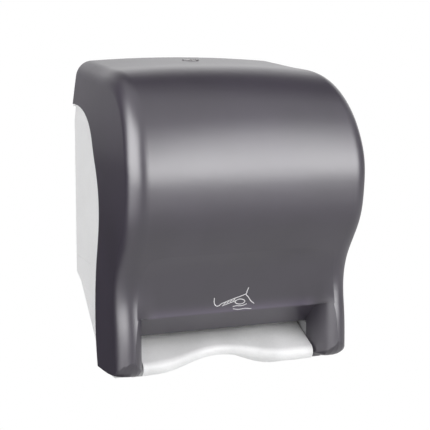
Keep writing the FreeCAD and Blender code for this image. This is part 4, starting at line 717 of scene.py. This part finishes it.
@dataclass
class RollHolder(Assembly):
    """Arms and hubs that carry the roll; coils stand for the sleeves on the arms. Millimetres."""

    pivot_x: float = 118.0
    pivot_depth: float = 10.0
    coil_low: float = 245.5
    coil_length: float = 12.7
    coil_radius: float = 3.8
    wire_radius: float = 0.6
    turns: float = 7.0

    def build(self, wardrobe: Wardrobe) -> list[bpy.types.Object]:
        """Adds the two arm springs."""
        parts = []
        for side in (-1, 1):
            start = spot(side * self.pivot_x, self.pivot_depth, self.coil_low)
            parts.append(coil(start, np.array([0.0, 0.0, 1.0]), self.coil_length * MM,
                              self.coil_radius * MM, self.wire_radius * MM, self.turns))
        springs = make_piece("arm_coils", *merged(parts), "housing")
        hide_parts("arm_springs")
        wardrobe.dress_piece(springs, "spring_steel")
        return [springs]


COIL_STEPS = 28


def coil(start: np.ndarray, axis: np.ndarray, length: float, radius: float, wire: float,
         turns: float) -> Surface:
    """A helical spring with close end turns.

    The wire's middle is start + rise * axis + radius * (cos a * first + sin a * second), where a grows
    evenly and the rise lags in the first and last turn; a circle is carried along it.

    Args:
        start: centre of the lower end.
        axis: unit direction of the coil.
        length: overall length.
        radius: from the axis to the middle of the wire.
        wire: radius of the wire.
        turns: number of turns.

    Returns:
        Points and faces.
    """
    first = np.cross(axis, [0.3, 0.9, 0.2])
    first /= np.linalg.norm(first)
    second = np.cross(axis, first)
    count = int(turns * COIL_STEPS)
    share = np.linspace(0, 1, count)
    angle = share * turns * 2 * np.pi
    close = 0.9 / turns
    climb = np.clip((share - close) / (1 - 2 * close), 0, 1)
    rise = climb * (length - 6 * wire) + share * 4 * wire + wire
    path = start + rise[:, None] * axis
    path = path + radius * (np.cos(angle)[:, None] * first + np.sin(angle)[:, None] * second)
    return swept(path, circle(wire, 10), axis)


@dataclass
class Feed(Assembly):
    """Rollers, motor and gears; coils stand for the sleeves on the pinch pivot. Millimetres."""

    spring_inner: float = 106.95
    spring_length: float = 5.1
    pivot_depth: float = 122.0
    pivot_height: float = 97.0
    coil_radius: float = 3.65
    wire_radius: float = 0.5
    turns: float = 4.0

    def build(self, wardrobe: Wardrobe) -> list[bpy.types.Object]:
        """Adds the two pinch springs."""
        parts = []
        for side in (-1, 1):
            start = spot(side * self.spring_inner, self.pivot_depth, self.pivot_height)
            parts.append(coil(start, np.array([float(side), 0.0, 0.0]), self.spring_length * MM,
                              self.coil_radius * MM, self.wire_radius * MM, self.turns))
        springs = make_piece("pinch_coils", *merged(parts), "housing")
        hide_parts("pinch_springs")
        wardrobe.dress_piece(springs, "spring_steel")
        return [springs]


@dataclass(frozen=True)
class ScrewSet:
    """Screws of one kind that share a node. Spots are the middle of the bearing face. Millimetres."""

    node: str
    spots: tuple[Triple, ...]
    outward: tuple[Triple, ...]
    head_radius: float
    head_height: float
    shank_radius: float
    shank_length: float


CHEEK_INNER = 112.6
CHEEK_OUTER = 115.6
BOX_OUTER = 133.6
RIGHT = (1.0, 0.0, 0.0)
LEFT = (-1.0, 0.0, 0.0)
FORWARD = (0.0, -1.0, 0.0)
TO_WALL = (0.0, 1.0, 0.0)
DOWN = (0.0, 0.0, -1.0)
POSTS = ((68.0, 121.0), (114.0, 15.0))
CHEEK_HOLES = ((134.0, 18.0), (109.2, 32.0), (130.5, 56.5), (84.0, 108.0))
RIGHT_BOX = ((65.0, 52.0), (114.0, 52.0), (114.0, 110.5))
LEFT_BOX = ((80.0, 66.0), (80.0, 120.0), (129.0, 120.0))
MOTOR_SCREW_HEIGHTS = (83.5, 100.5)
SCREWS = (
    ScrewSet("chassis_screws", tuple((s * CHEEK_INNER, d, h) for s in (-1, 1) for d, h in POSTS),
             (RIGHT, RIGHT, LEFT, LEFT), 3.4, 1.0, 1.25, 14.0),
    ScrewSet("cheek_screws", tuple((s * CHEEK_OUTER, d, h) for s in (-1, 1) for d, h in CHEEK_HOLES),
             (LEFT,) * 4 + (RIGHT,) * 4, 2.4, 1.4, 1.1, 10.0),
    ScrewSet("cover_screws", tuple((-BOX_OUTER, d, h) for d, h in LEFT_BOX)
             + tuple((BOX_OUTER, d, h) for d, h in RIGHT_BOX),
             (LEFT,) * 3 + (RIGHT,) * 3, 2.2, 1.4, 1.2, 20.5),
    ScrewSet("motor_screws", tuple((CHEEK_OUTER, 70.0, h) for h in MOTOR_SCREW_HEIGHTS),
             (RIGHT,) * 2, 2.0, 1.2, 1.1, 7.0),
    ScrewSet("tray_screws", tuple((x, 5.0, 113.0) for x in (-61.0, 61.0)),
             (FORWARD,) * 2, 2.6, 1.4, 1.5, 4.3),
    ScrewSet("strike_screws", tuple((x, 12.5, 341.1) for x in (29.0, 39.0)),
             (DOWN,) * 2, 2.6, 1.4, 1.25, 9.0),
    ScrewSet("blade_screws", tuple((x, 134.2, 55.0) for x in (-90.0, -45.0, 0.0, 45.0, 90.0)),
             (TO_WALL,) * 5, 2.4, 1.2, 1.2, 3.8),
)


@dataclass
class Fasteners(Assembly):
    """Every screw, with a domed head and a cross recess.

    Sizes are shares of the head; tip is a share of the shank and point_length is in millimetres.
    """

    recess_reach: float = 0.62
    recess_width: float = 0.17
    recess_depth: float = 0.7
    recess_flank: float = 0.05
    recess_end: float = 0.07
    dome: float = 0.45
    tip: float = 0.2
    point_length: float = 0.8
    rings: int = 14
    spokes: int = 48

    def build(self, wardrobe: Wardrobe) -> list[bpy.types.Object]:
        """Adds one piece for each set of screws."""
        made = []
        for screws in SCREWS:
            parts = [self.screw(screws, *pair) for pair in zip(screws.spots, screws.outward)]
            piece = make_piece(screws.node.replace("screws", "screw_set"), *merged(parts), "housing")
            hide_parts(screws.node)
            wardrobe.dress_piece(piece, wardrobe.slots[screws.node])
            made.append(piece)
        return made

    def screw(self, screws: ScrewSet, place: Triple, outward: Triple) -> Surface:
        """One screw as a surface of radius r and angle a about its axis.

        The head's height is a dome, head_height * (1 - dome r^4), less the recess where |x| or |y| is
        within its width and both are within its reach; below the rim the outline steps in to the shank
        and ends in a point.

        Args:
            screws: the set's sizes.
            place: middle of the bearing face.
            outward: the way the head faces.

        Returns:
            Points and faces.
        """
        angle = np.arange(self.spokes) * 2 * np.pi / self.spokes
        share = np.linspace(1, 1 / self.rings, self.rings)[:, None]
        x, y = share * np.cos(angle), share * np.sin(angle)
        narrow = np.minimum(np.abs(x), np.abs(y))
        long = np.maximum(np.abs(x), np.abs(y))
        across = np.clip((self.recess_width - narrow) / self.recess_flank, 0, 1)
        along = np.clip((self.recess_reach - long) / self.recess_end, 0, 1)
        sunk = self.recess_depth * across * along
        top = screws.head_height * (1 - self.dome * share ** 4 - sunk)
        head = np.stack([x * screws.head_radius, y * screws.head_radius, top], axis=-1)
        end = -screws.shank_length
        side = np.array([(screws.shank_radius * self.tip, end),
                         (screws.shank_radius, end + self.point_length),
                         (screws.shank_radius, 0.0), (screws.head_radius, 0.0)])
        radius, level = side[:, :1], np.broadcast_to(side[:, 1:], (len(side), self.spokes))
        lower = np.stack([radius * np.cos(angle), radius * np.sin(angle), level], axis=-1)
        rings = np.concatenate([lower, head]) * MM
        count = rings.shape[0] * self.spokes
        bottom = screws.head_height * (1 - self.recess_depth)
        poles = np.array([[0, 0, end], [0, 0, bottom]]) * MM
        points = np.vstack([rings.reshape(-1, 3), poles])
        faces = grid_faces(rings.shape[0], self.spokes, True)
        faces += fan_faces(0, self.spokes, count, False)
        faces += fan_faces(count - self.spokes, self.spokes, count + 1, True)
        axis = np.array(outward)
        first = np.cross(axis, [0.36, 0.48, 0.8])
        first /= np.linalg.norm(first)
        turn = np.stack([first, np.cross(axis, first), axis])
        return points @ turn + spot(*place), faces


# Studio


@dataclass(frozen=True)
class GlossBox:
    """A soft box or screen as gloss shows it.

    The bearing is in degrees, 0 in front and 90 to the right; it is full out to inner degrees and gone
    beyond outer. Heights are the four elevations where it starts, is full, stays full and ends.
    """

    bearing: float
    inner: float
    outer: float
    heights: tuple[float, float, float, float]
    radiance: float

    def window(self, graph: Graph, x: Channel, y: Channel, level: Channel) -> Channel:
        """1 inside the window of bearings, from the cosine (x sin a - y cos a) / level."""
        a = math.radians(self.bearing)
        cosine = (x * math.sin(a) - y * math.cos(a)) / level
        ends = (math.cos(math.radians(edge)) for edge in (self.outer, self.inner))
        return graph.step(cosine, *ends)


# A dark screen behind at the left, a low box behind with shade above it, the left box and the key.
GLOSS_BOXES = (
    GlossBox(-150, 34, 50, (-60, -30, 35, 60), 0.03),
    GlossBox(157, 22, 48, (-8, 3, 22, 36), 1.5),
    GlossBox(140, 34, 64, (30, 42, 62, 80), 0.12),
    GlossBox(-76, 26, 46, (-32, -10, 36, 58), 5.6),
    GlossBox(27, 15, 33, (-42, -18, 14, 48), 5.8),
)
SCREEN = GLOSS_BOXES[0]


@dataclass
class Studio:
    """Camera, floor, lamps and world, in metres. Lamps have a bearing and a rise from the object."""

    camera_place: Triple = (-0.56703, -1.41990, 0.12165)
    camera_target: Triple = (0.00606, -0.1, -0.06251)
    lens: float = 98.50
    sensor: float = 36.0
    centre: Triple = (0.0, -0.11, -0.05)
    floor_drop: float = -1.0
    floor_reach: float = 9.0
    fade: tuple[float, float] = (1.1, 2.1)
    ambient: float = 0.62
    gloss_floor: float = 0.70
    screened: float = 0.93
    gloss_walls: float = 0.40
    gloss_ceiling: float = 0.5

    def build_camera(self) -> None:
        """Puts the camera at the photograph's place."""
        data = bpy.data.cameras.new("view_camera")
        data.lens = self.lens
        data.sensor_width = self.sensor
        camera = bpy.data.objects.new("view_camera", data)
        camera.location = self.camera_place
        towards = Vector(self.camera_target) - Vector(self.camera_place)
        camera.rotation_mode = "QUATERNION"
        camera.rotation_quaternion = towards.to_track_quat("-Z", "Y")
        bpy.context.scene.collection.objects.link(camera)
        bpy.context.scene.camera = camera

    def build_lamp(self, name: str, bearing: float, rise: float, distance: float,
                   size: tuple[float, float], radiance: float) -> None:
        """A soft rectangular lamp that faces the object.

        Args:
            name: the lamp's name.
            bearing: degrees round the object, 0 in front and 90 to the right.
            rise: degrees above the horizon.
            distance: metres from the object.
            size: width and height.
            radiance: brightness of the lamp's face, 1 being white.
        """
        data = bpy.data.lights.new(name, "AREA")
        data.shape = "RECTANGLE"
        data.size, data.size_y = size
        data.energy = radiance * math.pi * size[0] * size[1]
        lamp = bpy.data.objects.new(name, data)
        a, e = math.radians(bearing), math.radians(rise)
        out = Vector((math.sin(a) * math.cos(e), -math.cos(a) * math.cos(e), math.sin(e)))
        lamp.location = Vector(self.centre) + out * distance
        lamp.rotation_mode = "QUATERNION"
        lamp.rotation_quaternion = (-out).to_track_quat("-Z", "Y")
        lamp.visible_camera = False
        lamp.visible_glossy = False
        bpy.context.scene.collection.objects.link(lamp)

    def build_lamps(self) -> None:
        """Key box at the front right, box at the left, soft light from above and one from behind.

        What gloss shows of them is painted into the world instead, with soft edges.
        """
        self.build_lamp("key_box", 28, 14, 2.2, (1.1, 1.1), 4.7)
        self.build_lamp("left_box", -84, 12, 2.0, (0.6, 1.0), 5.0)
        self.build_lamp("top_box", 10, 62, 2.0, (1.6, 1.2), 2.0)
        self.build_lamp("rear_edge", 158, 22, 2.2, (1.4, 0.5), 1.1)

    def build_floor(self) -> bpy.types.Object:
        """Pale floor well below the wall-hung object.

        The floor is a sheet of points (r cos a, r sin a, drop) on rings that widen outwards.

        Returns:
            The floor.
        """
        rings, spokes = 24, 48
        radius = self.floor_reach * (np.arange(1, rings + 1) / rings) ** 1.5
        angle = np.arange(spokes) * 2 * np.pi / spokes
        x, y = radius[:, None] * np.cos(angle), radius[:, None] * np.sin(angle)
        sheet = np.stack([x, y, np.full_like(x, self.floor_drop)], axis=-1).reshape(-1, 3)
        points = np.vstack([sheet, [[0.0, 0.0, self.floor_drop]]])
        faces = [quad[::-1] for quad in grid_faces(rings, spokes, True)]
        faces += fan_faces(0, spokes, rings * spokes, True)
        mesh = bpy.data.meshes.new("studio_floor")
        mesh.from_pydata(points.tolist(), [], faces)
        floor = bpy.data.objects.new("studio_floor", mesh)
        bpy.context.scene.collection.objects.link(floor)
        floor.data.materials.append(self.floor_material())
        return floor

    def floor_material(self) -> bpy.types.Material:
        """Matt white that keeps the shadow near the object and turns to plain white far out.

        Returns:
            The material.
        """
        material = bpy.data.materials.new("floor_white")
        material.use_nodes = True
        graph = Graph(material.node_tree)
        matt = graph.node("ShaderNodeBsdfDiffuse", {}, {"Color": (0.86, 0.86, 0.86, 1.0)})
        glow = graph.node("ShaderNodeEmission", {}, {"Color": WHITE, "Strength": 1.0})
        path = graph.node("ShaderNodeLightPath", {}, {})
        length = graph.node("ShaderNodeVectorMath", {"operation": "LENGTH"}, {0: graph.position()})
        far = graph.step(graph.channel(length, "Value"), *self.fade)
        seen = graph.channel(path, "Is Camera Ray").larger(graph.channel(path, "Is Transmission Ray"))
        gloss = graph.channel(path, "Is Glossy Ray")
        split = graph.node("ShaderNodeSeparateXYZ", {}, {0: graph.position()})
        x, y = graph.channel(split, 0), graph.channel(split, 1)
        hidden = SCREEN.window(graph, x, y, (x * x + y * y).larger(0.0001).power(0.5))
        pale = graph.node("ShaderNodeEmission", {}, {
            "Color": WHITE, "Strength": self.gloss_floor * (1 - self.screened * hidden)})
        lit = graph.node("ShaderNodeMixShader", {},
                         {0: far * seen, 1: matt.outputs[0], 2: glow.outputs[0]})
        mix = graph.node("ShaderNodeMixShader", {}, {0: gloss, 1: lit.outputs[0], 2: pale.outputs[0]})
        graph.node("ShaderNodeOutputMaterial", {}, {"Surface": mix.outputs[0]})
        return material

    def build_world(self) -> None:
        """White to the camera and through glass, a pale room to gloss, and even light to the rest."""
        world = bpy.data.worlds.new("studio_world")
        world.use_nodes = True
        bpy.context.scene.world = world
        graph = Graph(world.node_tree)
        path = graph.node("ShaderNodeLightPath", {}, {})
        seen = graph.channel(path, "Is Camera Ray").larger(graph.channel(path, "Is Transmission Ray"))
        gloss = graph.channel(path, "Is Glossy Ray")
        even = graph.node("ShaderNodeBackground", {}, {"Color": WHITE, "Strength": self.ambient})
        soft = graph.node("ShaderNodeBackground", {},
                          {"Color": WHITE, "Strength": self.room_light(graph)})
        white = graph.node("ShaderNodeBackground", {}, {"Color": WHITE, "Strength": 1.0})
        lit = graph.node("ShaderNodeMixShader", {}, {0: gloss, 1: even.outputs[0], 2: soft.outputs[0]})
        shown = graph.node("ShaderNodeMixShader", {}, {0: seen, 1: lit.outputs[0], 2: white.outputs[0]})
        graph.node("ShaderNodeOutputWorld", {}, {"Surface": shown.outputs[0]})

    def room_light(self, graph: Graph) -> Channel:
        """Brightness of the studio as gloss shows it: pale walls, soft boxes and one dark screen.

        A box is a window of bearings times a band of heights, both with soft edges.

        Args:
            graph: the world's graph.

        Returns:
            The brightness by direction.
        """
        direction = graph.node("ShaderNodeTexCoord", {}, {}).outputs["Generated"]
        split = graph.node("ShaderNodeSeparateXYZ", {}, {0: direction})
        x, y, z = (graph.channel(split, index) for index in range(3))
        level = (1 - z * z).larger(0.0001).power(0.5)
        room = self.gloss_walls + graph.step(z, 0.2, 0.9) * self.gloss_ceiling
        for box in GLOSS_BOXES:
            across = box.window(graph, x, y, level)
            low_out, low_in, high_in, high_out = (math.sin(math.radians(edge)) for edge in box.heights)
            along = graph.step(z, low_out, low_in) * (1 - graph.step(z, high_in, high_out))
            room = room + (box.radiance - room) * (across * along)
        return room

    def build(self) -> None:
        """Builds the whole studio and sets the plain view transform."""
        self.build_camera()
        self.build_floor()
        self.build_lamps()
        self.build_world()
        bpy.context.scene.view_settings.view_transform = "Standard"


def assemblies() -> list[Assembly]:
    """Every sub-assembly in building order."""
    return [
        Assembly("housing", ("wall_housing", "hinge_pins")),
        Cover("cover", ("front_cover",)),
        Assembly("chute", ("towel_chute", "sensor_window", "sensor_board", "sensor_lead")),
        Assembly("chassis", ("chassis_cheek_left", "chassis_cheek_right", "front_beam", "roller_guard",
                             "tear_blade")),
        Feed("feed", ("drive_shaft", "drive_roller_core", "roller_sleeves", "shaft_bushes",
                      "pinch_shaft", "pinch_rollers", "pinch_bracket", "pinch_pivot",
                      "pinch_springs", "feed_motor", "motor_shaft", "motor_pinion", "idler_gear",
                      "idler_axle", "drive_gear", "gear_cover", "motor_lead")),
        Assembly("controls", ("control_housing", "control_board", "feed_button", "length_switch",
                              "delay_switch", "range_switch", "status_light")),
        Assembly("power", ("battery_tray", "battery_cells", "battery_contacts", "battery_door",
                           "door_pin", "battery_lead")),
        RollHolder("roll holder", ("roll_arm_left", "roll_arm_right", "arm_pins", "arm_springs",
                                   "roll_hub_left", "roll_hub_right")),
        Assembly("lock", ("lock_body", "lock_nut", "lock_plug", "lock_cam", "lock_strike")),
        Fasteners("fasteners", tuple(screws.node for screws in SCREWS)),
    ]


def main() -> None:
    """Builds the studio and every sub-assembly."""
    Studio().build()
    wardrobe = Wardrobe()
    dressed: set[str] = set()
    for assembly in assemblies():
        assembly.dress(wardrobe)
        dressed.update(assembly.nodes)
        log.info("%s: %d nodes dressed", assembly.name, len(assembly.nodes))
        for piece in assembly.build(wardrobe):
            log.info("  %s: %d faces", piece.name, len(piece.data.polygons))
    missed = set(frame["nodes"]) - dressed
    if missed:
        raise ValueError(f"nodes without a finish: {sorted(missed)}")


if __name__ == "__main__":
    main()
